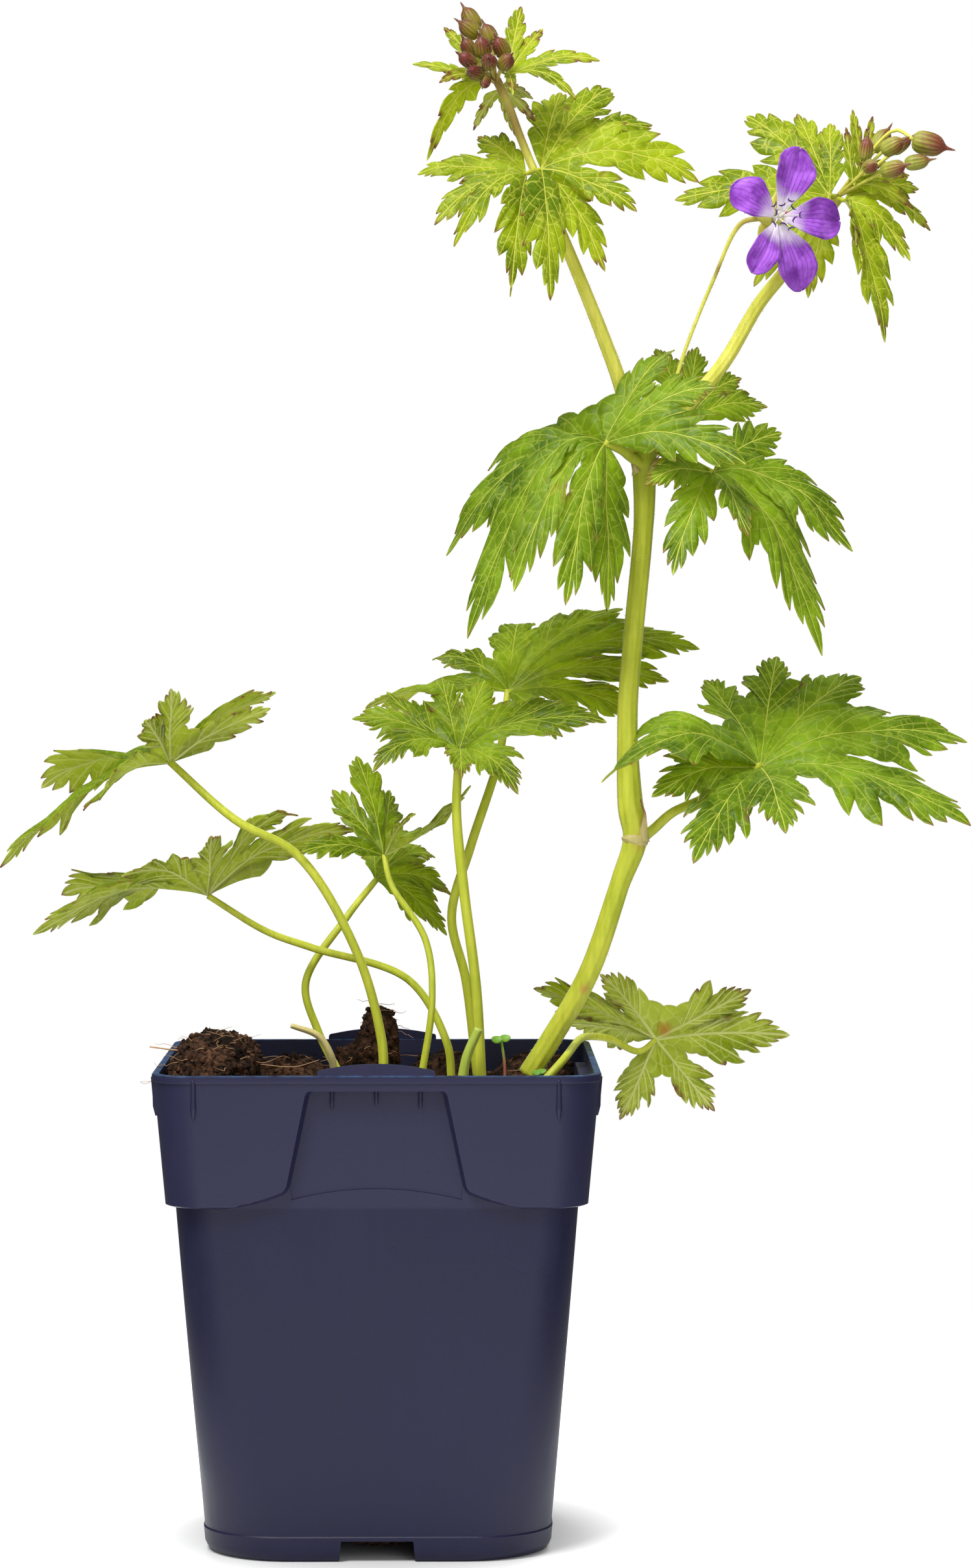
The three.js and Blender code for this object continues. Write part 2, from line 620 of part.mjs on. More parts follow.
const RIGHT_BUDS = [
  [[110.2, -5.6, 288.6], [118.7, -7, 286.3], 2.3, [106.6, -2, 291]],
  [[108.4, -7.6, 283.4], [114.6, -9.4, 284.3], 1.5],
  [[104, -4, 286.4], [109.4, -6, 289.2], 1.7],
  [[103, 2.4, 287.2], [106.8, 3.4, 293.1], 1.7],
  [[100.2, -5.2, 284.4], [101, -6.4, 290.2], 1.4],
  [[100.6, -6.6, 282.6], [102, -11.4, 283.2], 1.4],
  [[103.6, -8, 281.8], [109.2, -12.4, 283], 1.6],
  [[106.6, -0.6, 286.6], [111.4, 0.2, 290.6], 1.2],
];
const RIGHT_HEAD = [95.2, -0.2, 277.6];

function bud([foot, beak, radius]) {
  const profile = [0.35, 0.85, 1, 0.85, 0.4, 0.16].map((share) => share * radius);
  return stalk([foot, beak], profile, { steps: 5 });
}

/** A branch that ends in a head of short rays, one to each bud. */
function branchWithRays(line, radii, head, buds) {
  const rays = buds.map(([foot, beak, , via]) => {
    const back = vector(foot).sub(vector(beak)).setLength(GAP).add(vector(foot)).toArray();
    const route = via ? [head, via, back] : [head, back];
    return stalk(route, [0.4, 0.35], { sides: 5, steps: via ? 4 : 1 });
  });
  return joined([stalk(line, radii, { sides: 8, steps: 18 }), ...rays]);
}

// ---------- flower ----------

const FLOWER_MIDDLE = [81.5, -15, 271.5];
const FLOWER_FACING = [0.35, -0.93, 0.1];
const PETAL_TIPS = [
  [72, -19, 277.5], [86.5, -15, 286], [95, -11, 271.5], [87, -14, 257], [76.5, -19.5, 260],
];
// Share of the way out, and half-width there as a share of the petal's length.
const PETAL_OUTLINE = [[0.14, 0.05], [0.35, 0.17], [0.6, 0.29], [0.82, 0.28], [0.96, 0.14]];
const PETAL_BOW = 1.2;
const CALYX = [79.9, -11.6, 271.6];
const SEPAL_SHARE = 0.5;
const SEPAL_SETBACK = 1.2;
const RECEPTACLE = [[78, -11, 272], [81, -12.8, 271.6]];
const COLUMN = [[81.3, -14, 271.6], [83, -19.5, 272.2]];
const STAMEN_COUNT = 10;
const STAMEN_FOOT = [81.5, -14.8, 271.6];
const ANTHERS_MIDDLE = [83, -17.6, 272];
const ANTHER_RINGS = [{ spread: 2.6, forward: 0 }, { spread: 1.9, forward: 0.5 }];

function petal(tip) {
  const middle = vector(FLOWER_MIDDLE);
  const reach = vector(tip).sub(middle);
  const facing = vector(FLOWER_FACING);
  const across = reach.clone().cross(facing).setLength(reach.length());
  const along = (s) => middle.clone().addScaledVector(reach, s)
    .addScaledVector(facing, PETAL_BOW * Math.sin(s * Math.PI));
  const ribs = PETAL_OUTLINE.map(([s]) => along(s));
  const sides = [-1, 1].map((sign) => PETAL_OUTLINE.map(([s, wide]) =>
    along(s).addScaledVector(across, sign * wide)));
  const count = ribs.length;
  const points = [...ribs, ...sides[0], ...sides[1], along(1)];
  const triangles = [];
  for (let k = 0; k + 1 < count; k++) {
    triangles.push([k, k + 1, k + count], [k + 1, k + 1 + count, k + count]);
    triangles.push([k, k + 2 * count, k + 1], [k + 1, k + 2 * count, k + 1 + 2 * count]);
  }
  triangles.push([count - 1, 3 * count, 2 * count - 1], [count - 1, 3 * count - 1, 3 * count]);
  const left = sides[0].map((_, k) => k + count);
  const right = sides[1].map((_, k) => k + 2 * count).reverse();
  return thickened(points, triangles, [0, ...left, 3 * count, ...right], PETAL_THICKNESS);
}

function makeFlowerStalk() {
  const sepals = PETAL_TIPS.map((tip) => {
    const reach = vector(tip).sub(vector(FLOWER_MIDDLE)).multiplyScalar(SEPAL_SHARE);
    const end = vector(CALYX).add(reach).add(new THREE.Vector3(0, SEPAL_SETBACK, 0));
    return stalk([CALYX, end.toArray()], [0.7, 1, 0.2], { steps: 2, squash: 0.4 });
  });
  return joined([
    stalk(FLOWER_STALK, FLOWER_STALK_RADII, { steps: 16 }),
    stalk(RECEPTACLE, [0.8, 1.8, 1.3], { steps: 2 }),
    ...sepals,
  ]);
}

function makeFlowerCentre() {
  const column = stalk(COLUMN, [0.9, 0.8, 0.4, 0.4], { steps: 3 });
  const [x, y, z] = ANTHERS_MIDDLE;
  const stamens = Array.from({ length: STAMEN_COUNT }, (_, i) => {
    const turn = (i / STAMEN_COUNT) * 2 * Math.PI;
    const { spread, forward } = ANTHER_RINGS[i % 2];
    const end = [x + spread * Math.cos(turn), y - forward, z + spread * Math.sin(turn)];
    return stalk([STAMEN_FOOT, end], [0.25, 0.2, 0.45], { sides: 4, steps: 2 });
  });
  return joined([column, ...stamens]);
}

// ---------- small things on the soil ----------

const SEEDLING_STEM = [[26, -9, 94], [25.6, -9, 99], [25.2, -9.5, 103.3]];
const SEED_LEAVES = [[23.9, -9.5, 103.2], [26.5, -9.5, 103.2]];
const SEED_LEAF_RADII = [1.6, 1.1, 0.6];
const LEFT_CUT_STALK = [[-9, -6, 94], [-10, -9, 100], [-12, -10, 102.5], [-17.5, -11, 106]];
const MIDDLE_CUT_STALK = [[17, -16, 94], [18, -16.5, 100], [20.5, -17, 106]];

function makeSeedling() {
  const stem = stalk(SEEDLING_STEM, [0.35, 0.3], { sides: 5, steps: 3 });
  const seedLeaves = SEED_LEAVES.map((centre) => lump(centre, SEED_LEAF_RADII, 8, 6));
  return joined([stem, ...seedLeaves]);
}

// ---------- the whole plant ----------

addPart('pot', makePot(), NAVY, 0.45);
addPart('potting_soil', makeSoil(), COMPOST, 0.95);
addPart('rootstock', makeRootstock(), ROOT_BROWN, 0.9);
addPart('root_mat', clod(ROOT_MAT), COMPOST, 0.95);
addPart('peat_clump', clod(PEAT_CLUMP), COMPOST, 0.95);

addPart('main_stem', stalk(MAIN_STEM, MAIN_STEM_RADII, { sides: 10, steps: 26 }), STEM_GREEN);
addPart('left_branch', branchWithRays(LEFT_BRANCH, LEFT_BRANCH_RADII, LEFT_HEAD, LEFT_BUDS), STEM_GREEN);
addPart('right_branch', branchWithRays(RIGHT_BRANCH, RIGHT_BRANCH_RADII, RIGHT_HEAD, RIGHT_BUDS), STEM_GREEN);
addPart('flower_stalk', makeFlowerStalk(), STEM_GREEN);

Object.entries(BASAL_LEAVES).forEach(([name, shape]) => addPart(name, leaf(shape), LEAF_GREEN));
Object.entries(STEM_LEAVES).forEach(([name, shape]) => addPart(name, leaf(shape), FRESH_GREEN));
Object.entries(BRACTS).forEach(([name, { at, lobes }]) => {
  const color = name.startsWith('stipules') ? PAPERY : FRESH_GREEN;
  addPart(name, blade(at, lobes, BRACT_THICKNESS), color);
});

PETAL_TIPS.forEach((tip, i) => addPart(`flower_petal_${i + 1}`, petal(tip), VIOLET, 0.5));
addPart('flower_centre', makeFlowerCentre(), CREAM);
LEFT_BUDS.forEach((shape, i) => addPart(`left_head_bud_${i + 1}`, bud(shape), BUD_PINK));
RIGHT_BUDS.forEach((shape, i) => addPart(`right_head_bud_${i + 1}`, bud(shape), BUD_GREEN));

addPart('cut_stalk_left', stalk(LEFT_CUT_STALK, [0.8, 0.8, 0.9], { steps: 6 }), STEM_GREEN);
addPart('cut_stalk_middle', stalk(MIDDLE_CUT_STALK, [0.9, 0.7], { steps: 3 }), STEM_GREEN);
addPart('weed_seedling', makeSeedling(), FRESH_GREEN);

export default part;
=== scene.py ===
import math
import random

import bmesh
import bpy
import numpy as np
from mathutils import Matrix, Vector, noise


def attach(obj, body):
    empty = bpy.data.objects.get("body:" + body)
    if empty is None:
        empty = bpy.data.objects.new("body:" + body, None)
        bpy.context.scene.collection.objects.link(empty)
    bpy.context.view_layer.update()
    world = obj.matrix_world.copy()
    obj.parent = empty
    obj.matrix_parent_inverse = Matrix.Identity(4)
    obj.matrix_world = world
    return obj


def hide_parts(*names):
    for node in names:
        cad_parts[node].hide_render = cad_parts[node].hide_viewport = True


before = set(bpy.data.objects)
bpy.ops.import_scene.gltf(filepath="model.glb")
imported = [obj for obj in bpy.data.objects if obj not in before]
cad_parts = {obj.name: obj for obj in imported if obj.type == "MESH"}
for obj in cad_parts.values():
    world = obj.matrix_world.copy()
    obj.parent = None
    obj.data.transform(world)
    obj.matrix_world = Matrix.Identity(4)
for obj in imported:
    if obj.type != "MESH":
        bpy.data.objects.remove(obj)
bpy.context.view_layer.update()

# Hardy geranium with one open violet flower in a dark blue square nursery pot.
# Lengths are millimetres until a mesh is made, which is in metres.
MM = 0.001

# ---------- sizes ----------

POT_HEIGHT = 98.8
RIM_HALF = 45
RIM_DEPTH = 1.3
COLLAR_TOP_HALF = 44.75
COLLAR_BOTTOM_HALF = 42.4
COLLAR_BOTTOM = 72
BODY_TOP_HALF = 40.5
BODY_BOTTOM_HALF = 35
CORNER_TOP = 8
CORNER_BOTTOM = 17
CORNER_STEPS = 14
WALL = 1.2
FLOOR_UNDERSIDE = 4.5
FOOT_RADIUS = 9
NOTCH_WIDTH = 14.5
NOTCH_HEIGHT = 4.3
NOTCH_REACH = 20
DRAIN_RADIUS = 3.5
DRAIN_OFFSET = 17
RECESS_TOP = 95.5
RECESS_TOP_HALF = 13
TAB_HALF = 11.7
TAB_RISE_END = 1.2
TAB_RISE_MIDDLE = 2.4
RIB_OFFSET = 36.3
LINTEL_RIB_SPACING = 8.8
LEAF_THICKNESS = 0.3
BRACT_THICKNESS = 0.25
PETAL_THICKNESS = 0.22
STIPULE_THICKNESS = 0.2
SMOOTH_BELOW = math.radians(55)

# ---------- small helpers ----------


def unit(v):
    return v / np.maximum(np.linalg.norm(v, axis=-1, keepdims=True), 1e-9)


def smooth(x):
    x = np.clip(x, 0, 1)
    return x * x * (3 - 2 * x)


def uneven(points, size):
    """Soft noise from -1 to 1 at each point, with lumps about size across."""
    return np.array([noise.noise(Vector(p) / size) for p in points])


def evenly_along(line, count, closed=False):
    """Evenly spaced points along a line of points."""
    along = np.concatenate([[0], np.cumsum(np.linalg.norm(np.diff(line, axis=0), axis=1))])
    stops = np.linspace(0, along[-1], count, endpoint=not closed)
    return np.stack([np.interp(stops, along, line[:, k]) for k in range(3)], 1)


def smooth_line(points, count):
    """Evenly spaced points on a smooth curve through the given ones."""
    points = np.array(points, float)
    ends = np.vstack([2 * points[0] - points[1], points, 2 * points[-1] - points[-2]])
    dense = []
    for a, b, c, d in zip(ends, ends[1:], ends[2:], ends[3:]):
        steps = np.sqrt([np.linalg.norm(b - a), np.linalg.norm(c - b), np.linalg.norm(d - c)])
        t1, t2, t3 = np.cumsum(steps)
        t = np.linspace(t1, t2, 24, endpoint=False)[:, None]
        ab = a * (t1 - t) / t1 + b * t / t1
        bc = b * (t2 - t) / (t2 - t1) + c * (t - t1) / (t2 - t1)
        cd = c * (t3 - t) / (t3 - t2) + d * (t - t2) / (t3 - t2)
        abc = ab * (t2 - t) / t2 + bc * t / t2
        bcd = bc * (t3 - t) / (t3 - t1) + cd * (t - t1) / (t3 - t1)
        dense.extend(abc * (t2 - t) / (t2 - t1) + bcd * (t - t1) / (t2 - t1))
    return evenly_along(np.array([*dense, points[-1]]), count)


def grid_faces(rows, columns, start=0, flip=False):
    faces = []
    for r in range(rows - 1):
        for c in range(columns - 1):
            a = start + r * columns + c
            face = (a, a + 1, a + columns + 1, a + columns)
            faces.append(face[::-1] if flip else face)
    return faces


def ring_faces(rings, sides):
    """Faces between closed rings of points that follow one another."""
    faces = []
    for r in range(rings - 1):
        for i in range(sides):
            a, b = r * sides + i, r * sides + (i + 1) % sides
            faces.append((a, b, b + sides, a + sides))
    return faces


def circle_of(turns, side, other):
    return np.outer(np.cos(turns), side) + np.outer(np.sin(turns), other)


def bar_faces(rings, sides):
    """Faces of a closed bar: its rings, then one point at its start and one at its end."""
    faces = ring_faces(rings, sides)
    first, last, end = rings * sides, rings * sides + 1, (rings - 1) * sides
    for i in range(sides):
        after = (i + 1) % sides
        faces += [(first, after, i), (last, end + i, end + after)]
    return faces


def new_mesh(name, points, faces, materials, values=None):
    mesh = bpy.data.meshes.new(name)
    mesh.from_pydata((np.asarray(points, float) * MM).tolist(), [], faces)
    for key, numbers in (values or {}).items():
        layer = mesh.attributes.new(key, "FLOAT", "POINT")
        layer.data.foreach_set("value", np.asarray(numbers, np.float32))
    for material in materials:
        mesh.materials.append(material)
    mesh.polygons.foreach_set("use_smooth", [True] * len(mesh.polygons))
    made = bpy.data.objects.new(name, mesh)
    bpy.context.scene.collection.objects.link(made)
    return made


def apply_modifier(piece, kind, **settings):
    modifier = piece.modifiers.new(kind.lower(), kind)
    for key, value in settings.items():
        setattr(modifier, key, value)
    bpy.ops.object.select_all(action="DESELECT")
    piece.select_set(True)
    bpy.context.view_layer.objects.active = piece
    bpy.ops.object.modifier_apply(modifier=modifier.name)


def weld(piece, distance=0.02):
    shape = bmesh.new()
    shape.from_mesh(piece.data)
    bmesh.ops.remove_doubles(shape, verts=shape.verts, dist=distance * MM)
    bmesh.ops.dissolve_degenerate(shape, edges=shape.edges, dist=0.5 * distance * MM)
    shape.to_mesh(piece.data)
    shape.free()


def turn_outward(piece):
    shape = bmesh.new()
    shape.from_mesh(piece.data)
    bmesh.ops.recalc_face_normals(shape, faces=shape.faces)
    shape.to_mesh(piece.data)
    shape.free()


def round_ball(subdivisions):
    """Points and faces of a ball of radius 1, read from an ico sphere that is then removed."""
    bpy.ops.object.select_all(action="DESELECT")
    bpy.ops.mesh.primitive_ico_sphere_add(subdivisions=subdivisions, radius=MM)
    ball = bpy.context.active_object
    flat = np.empty(3 * len(ball.data.vertices), np.float32)
    ball.data.vertices.foreach_get("co", flat)
    faces = [tuple(face.vertices) for face in ball.data.polygons]
    bpy.data.objects.remove(ball, do_unlink=True)
    return flat.reshape(-1, 3).astype(float) / MM, faces


def finish_piece(piece, slot, *nodes):
    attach(piece, "root")
    if nodes:
        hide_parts(*nodes)


# ---------- shader helpers ----------


def tint(red, green, blue):
    """A colour given as it looks on a screen, 0 to 255 each."""
    parts = [c / 255 for c in (red, green, blue)]
    return (*[c / 12.92 if c < 0.04045 else ((c + 0.055) / 1.055) ** 2.4 for c in parts], 1)


def add(tree, kind, sockets=None, **settings):
    made = tree.nodes.new("ShaderNode" + kind)
    for key, value in settings.items():
        setattr(made, key, value)
    for key, value in (sockets or {}).items():
        if isinstance(value, bpy.types.NodeSocket):
            tree.links.new(value, made.inputs[key])
        else:
            made.inputs[key].default_value = value
    return made


def maths(tree, operation, *values):
    return add(tree, "Math", dict(enumerate(values)), operation=operation).outputs[0]


def weighted(tree, *parts):
    """The sum of several values, each times its weight."""
    value, weight = parts[0]
    total = maths(tree, "MULTIPLY", value, weight)
    for value, weight in parts[1:]:
        total = maths(tree, "ADD", total, maths(tree, "MULTIPLY", value, weight))
    return total


def blend(tree, factor, first, second):
    return add(tree, "Mix", {0: factor, 6: first, 7: second}, data_type="RGBA").outputs[2]


def between(tree, value, low, high, to_low=0.0, to_high=1.0):
    sockets = dict(enumerate((value, low, high, to_low, to_high)))
    return add(tree, "MapRange", sockets, interpolation_type="SMOOTHSTEP").outputs[0]


def attribute(tree, name):
    return add(tree, "Attribute", attribute_name=name).outputs["Fac"]


def noise_on(tree, where, scale, detail=2.0, roughness=0.5):
    sockets = {"Vector": where, "Scale": scale, "Detail": detail, "Roughness": roughness}
    return add(tree, "TexNoise", sockets).outputs


def raise_by(tree, height, strength, distance):
    sockets = {"Height": height, "Strength": strength, "Distance": distance}
    return add(tree, "Bump", sockets).outputs[0]


def spot_on(tree, stretch=(1, 1, 1)):
    where = add(tree, "TexCoord").outputs["Object"]
    return add(tree, "Mapping", {"Vector": where, "Scale": stretch}).outputs[0]


def new_material(name):
    material = bpy.data.materials.new(name)
    material.use_nodes = True
    material.node_tree.nodes.clear()
    return material, material.node_tree


def finish_material(material, shader):
    add(material.node_tree, "OutputMaterial", {"Surface": shader})
    return material


def leafy_shader(tree, skin, lit, rough, bump, specular, sheen, through):
    """A soft skin that lets light through; sheen is (weight, roughness)."""
    front = add(tree, "BsdfPrincipled", {
        "Base Color": skin, "Roughness": rough, "Normal": bump, "Specular IOR Level": specular,
        "Sheen Weight": sheen[0], "Sheen Roughness": sheen[1],
    }).outputs[0]
    back_lit = add(tree, "BsdfTranslucent", {"Color": lit, "Normal": bump}).outputs[0]
    return add(tree, "MixShader", {0: through, 1: front, 2: back_lit}).outputs[0]


def hard_shader(tree, skin, rough, bump, specular):
    return add(tree, "BsdfPrincipled", {
        "Base Color": skin, "Roughness": rough, "Normal": bump, "Specular IOR Level": specular,
    }).outputs[0]


def new_group(name, inputs, outputs):
    tree = bpy.data.node_groups.new(name, "ShaderNodeTree")
    for label, kind in inputs:
        tree.interface.new_socket(label, in_out="INPUT", socket_type="NodeSocket" + kind)
    for label in outputs:
        tree.interface.new_socket(label, in_out="OUTPUT", socket_type="NodeSocketFloat")
    source = tree.nodes.new("NodeGroupInput")
    target = tree.nodes.new("NodeGroupOutput")
    return tree, source.outputs, target.inputs


def use_group(tree, group, **sockets):
    return add(tree, "Group", sockets, node_tree=group).outputs


WOBBLE_SCALE = 320.0
WOBBLE = 0.0016


def make_vein_net():
    """A net of fine veins (Net is 1 on a vein) and puffed cells (Cell is 1 in the middle of each)."""
    inputs = [("Place", "Vector"), ("Cells", "Float"), ("Width", "Float")]
    tree, source, target = new_group("vein_net", inputs, ("Net", "Cell"))
    wobble = noise_on(tree, source["Place"], WOBBLE_SCALE, 1.0)["Color"]
    centred = add(tree, "VectorMath", {0: wobble, 1: (0.5, 0.5, 0.5)}, operation="SUBTRACT").outputs[0]
    moved = add(tree, "VectorMath", {0: centred, "Scale": WOBBLE}, operation="SCALE").outputs[0]
    bent = add(tree, "VectorMath", {0: source["Place"], 1: moved}, operation="ADD").outputs[0]
    cells = {"Vector": bent, "Scale": source["Cells"]}
    to_edge = add(tree, "TexVoronoi", cells, feature="DISTANCE_TO_EDGE").outputs["Distance"]
    to_middle = add(tree, "TexVoronoi", cells, feature="F1").outputs["Distance"]
    tree.links.new(between(tree, to_edge, 0.0, source["Width"], 1.0, 0.0), target["Net"])
    tree.links.new(between(tree, to_middle, 0.0, 0.75, 1.0, 0.0), target["Cell"])
    return tree


def make_mottle():
    """Soft uneven patches from 0 to 1. Patches is per metre."""
    inputs = [("Place", "Vector"), ("Patches", "Float")]
    tree, source, target = new_group("mottle", inputs, ("Value",))
    patches = noise_on(tree, source["Place"], source["Patches"], 4.0, 0.6)[0]
    tree.links.new(between(tree, patches, 0.3, 0.7), target["Value"])
    return tree


vein_net = make_vein_net()
mottle = make_mottle()


# ---------- finishes ----------

RUST = tint(128, 66, 44)
SCORCH = tint(196, 112, 52)
COARSE_CELLS = 330.0
FINE_CELLS = 1000.0
CELL_RISE = 0.7
FINE_CELL_RISE = 0.06
VEIN_RISE = 0.45
STREAK_STRETCH = (1, 1, 0.05)
FLOW_STRETCH = (1, 1, 0.2)
PETAL_VEINS = 27.0


def leaf_finish(name, dark, light, vein, glow, raised, gloss, net_shows, through, rib):
    """Leaf skin: raised is 1 where the veins stand proud and -1 where they are sunk."""
    material, tree = new_material(name)
    where = spot_on(tree)
    patches = use_group(tree, mottle, Place=where, Patches=70.0)[0]
    coarse, cell = use_group(tree, vein_net, Place=where, Cells=COARSE_CELLS, Width=0.07)
    fine, small_cell = use_group(tree, vein_net, Place=where, Cells=FINE_CELLS, Width=0.1)
    midrib = between(tree, attribute(tree, "midrib"), 0.4 * rib, rib, 1.0, 0.0)
    side = between(tree, attribute(tree, "side_vein"), 0.1 * rib, 0.7 * rib, 0.8, 0.0)
    margin = attribute(tree, "margin")
    main_veins = maths(tree, "MAXIMUM", midrib, side)
    net = maths(tree, "MULTIPLY", coarse, between(tree, margin, 0.2, 1.2))
    veins = maths(tree, "MAXIMUM", main_veins, maths(tree, "MULTIPLY", net, net_shows))
    veins = maths(tree, "MAXIMUM", veins, maths(tree, "MULTIPLY", fine, 0.25 * net_shows))
    skin = blend(tree, patches, tint(*dark), tint(*light))
    skin = blend(tree, veins, skin, tint(*vein))
    skin = blend(tree, between(tree, margin, 0.02, 0.25, 0.45, 0.0), skin, tint(*vein))
    lit = blend(tree, maths(tree, "MULTIPLY", veins, 0.7), tint(*glow), tint(*vein))
    speckle = between(tree, noise_on(tree, where, 260.0)[0], 0.4, 0.6)
    tip = between(tree, attribute(tree, "tooth"), 0.1, 1.5, 1.0, 0.0)
    edge = between(tree, margin, 0.0, 0.3, 0.3, 0.0)
    reddened = maths(tree, "MULTIPLY", maths(tree, "MAXIMUM", tip, edge), attribute(tree, "red"))
    reddened = maths(tree, "MULTIPLY", reddened, speckle)
    for mask, colour in ((reddened, RUST), (attribute(tree, "scorch"), SCORCH)):
        skin = blend(tree, mask, skin, colour)
        lit = blend(tree, mask, lit, colour)
    height = weighted(tree, (cell, -CELL_RISE * raised), (small_cell, -FINE_CELL_RISE * raised),
                      (main_veins, VEIN_RISE * raised))
    height = maths(tree, "MULTIPLY", height, between(tree, margin, 0.0, 0.5))
    bump = raise_by(tree, height, 0.6, 0.0006)
    rough = between(tree, patches, 0.0, 1.0, gloss - 0.04, gloss + 0.08)
    shader = leafy_shader(tree, skin, lit, rough, bump, 0.3, (0.05, 0.4), through)
    return finish_material(material, shader)


def plant_finish(name, dark, light, blush=None, through=0.1):
    """Stem skin with streaks along it; blush colours it where the attribute blush says so."""
    material, tree = new_material(name)
    streaks = use_group(tree, mottle, Place=spot_on(tree, STREAK_STRETCH), Patches=900.0)[0]
    patches = use_group(tree, mottle, Place=spot_on(tree), Patches=60.0)[0]
    shade = maths(tree, "ADD", weighted(tree, (streaks, 0.3), (patches, 0.45)), 0.12)
    skin = blend(tree, shade, tint(*dark), tint(*light))
    if blush:
        skin = blend(tree, attribute(tree, "blush"), skin, tint(*blush))
    pores = noise_on(tree, spot_on(tree), 2500.0)[0]
    bump = raise_by(tree, weighted(tree, (pores, 0.3), (streaks, 0.5)), 0.25, 0.0003)
    shader = leafy_shader(tree, skin, skin, 0.5, bump, 0.4, (0.14, 0.35), through)
    return finish_material(material, shader)


def pot_finish():
    """Moulded plastic: fine grain and faint flow marks, with painted light: the collar is drawn paler, and
    a patchy bluish painted highlight runs round the top of the rim.
    """
    material, tree = new_material("navy_plastic")
    where = spot_on(tree)
    patches = use_group(tree, mottle, Place=where, Patches=30.0)[0]
    flow = use_group(tree, mottle, Place=spot_on(tree, FLOW_STRETCH), Patches=260.0)[0]
    shade = weighted(tree, (patches, 0.6), (flow, 0.4))
    skin = blend(tree, shade, tint(12, 13, 41), tint(20, 21, 49))
    height = add(tree, "SeparateXYZ", {0: where}).outputs["Z"]
    # Painted light: above its lower edge the whole collar is drawn paler than the body, standing in for the
    # extra light on its faces.
    collar_painted_light = between(tree, height, 0.0715, 0.0725, 0.0, 0.45)
    skin = blend(tree, collar_painted_light, skin, tint(38, 39, 64))
    # Painted highlight: a thin patchy bluish band round the top of the rim, where the rim catches the
    # light.
    rim_highlight = maths(tree, "MULTIPLY", between(tree, height, 0.0985, 0.0988),
                between(tree, height, 0.0988, 0.099, 1.0, 0.0))
    highlight_patches = use_group(tree, mottle, Place=where, Patches=420.0)[0]
    skin = blend(tree, maths(tree, "MULTIPLY", rim_highlight, highlight_patches), skin, tint(46, 74, 108))
    bump = raise_by(tree, noise_on(tree, where, 3200.0)[0], 0.16, 0.0002)
    rough = between(tree, shade, 0.0, 1.0, 0.4, 0.5)
    return finish_material(material, hard_shader(tree, skin, rough, bump, 0.3))


def earth_finish():
    material, tree = new_material("compost")
    where = spot_on(tree)
    grains = noise_on(tree, where, 900.0, 8.0, 0.7)[0]
    patches = use_group(tree, mottle, Place=where, Patches=160.0)[0]
    shade = maths(tree, "MULTIPLY", between(tree, grains, 0.35, 0.7), patches)
    skin = blend(tree, shade, tint(8, 4, 2), tint(116, 79, 55))
    bump = raise_by(tree, grains, 0.9, 0.0012)
    return finish_material(material, hard_shader(tree, skin, 0.95, bump, 0.2))


def petal_finish():
    """Satin violet, whitish towards the throat, with darker veins that fan out."""
    material, tree = new_material("violet_petal")
    out = attribute(tree, "out")
    ripple = use_group(tree, mottle, Place=spot_on(tree), Patches=260.0)[0]
    angle = weighted(tree, (attribute(tree, "across"), PETAL_VEINS), (ripple, 3.2))
    veins = between(tree, maths(tree, "SINE", angle), 0.45, 1.0)
    veins = maths(tree, "MULTIPLY", veins, between(tree, out, 0.15, 0.95, 0.6, 0.25))
    skin = blend(tree, ripple, tint(122, 46, 162), tint(182, 104, 226))
    skin = blend(tree, veins, skin, tint(78, 24, 136))
    throat = weighted(tree, (out, 1.0), (ripple, 0.12))
    skin = blend(tree, between(tree, throat, 0.18, 0.52, 1.0, 0.0), skin, tint(232, 222, 236))
    bump = raise_by(tree, veins, 0.35, 0.0003)
    shader = leafy_shader(tree, skin, skin, 0.45, bump, 0.35, (0.25, 0.4), 0.25)
    return finish_material(material, shader)


basal_top = leaf_finish(
    "basal_leaf_top", dark=(36, 66, 0), light=(116, 144, 8), vein=(180, 192, 66), glow=(196, 210, 10),
    raised=-1, gloss=0.46, net_shows=0.38, through=0.42, rib=0.2)
basal_under = leaf_finish(
    "basal_leaf_under", dark=(84, 104, 24), light=(176, 182, 84), vein=(224, 224, 150),
    glow=(214, 222, 16), raised=1, gloss=0.6, net_shows=0.4, through=0.5, rib=0.36)
fresh_top = leaf_finish(
    "fresh_leaf_top", dark=(66, 102, 0), light=(154, 176, 4), vein=(212, 214, 84), glow=(200, 208, 8),
    raised=-1, gloss=0.5, net_shows=0.62, through=0.42, rib=0.24)
fresh_under = leaf_finish(
    "fresh_leaf_under", dark=(144, 154, 56), light=(186, 190, 96), vein=(214, 216, 140),
    glow=(206, 214, 36), raised=1, gloss=0.58, net_shows=0.3, through=0.42, rib=0.34)
grown_top = leaf_finish(
    "grown_leaf_top", dark=(42, 76, 2), light=(116, 148, 12), vein=(190, 200, 80), glow=(186, 208, 8),
    raised=-1, gloss=0.48, net_shows=0.3, through=0.34, rib=0.22)
stem_skin = plant_finish("stem_skin", (144, 158, 20), (204, 206, 68), (190, 122, 72), through=0.2)
branch_skin = plant_finish("branch_skin", (186, 188, 44), (238, 232, 118), (132, 84, 48), through=0.2)
bud_skin = plant_finish("bud_skin", (62, 20, 14), (118, 50, 40), (140, 138, 24))
green_bud_skin = plant_finish("green_bud_skin", (112, 122, 24), (176, 176, 72), (116, 56, 40))
papery = plant_finish("papery_stipule", (184, 172, 96), (214, 200, 140), (150, 84, 62), through=0.3)
dry_stalk = plant_finish("dry_stalk", (166, 150, 84), (208, 196, 132))
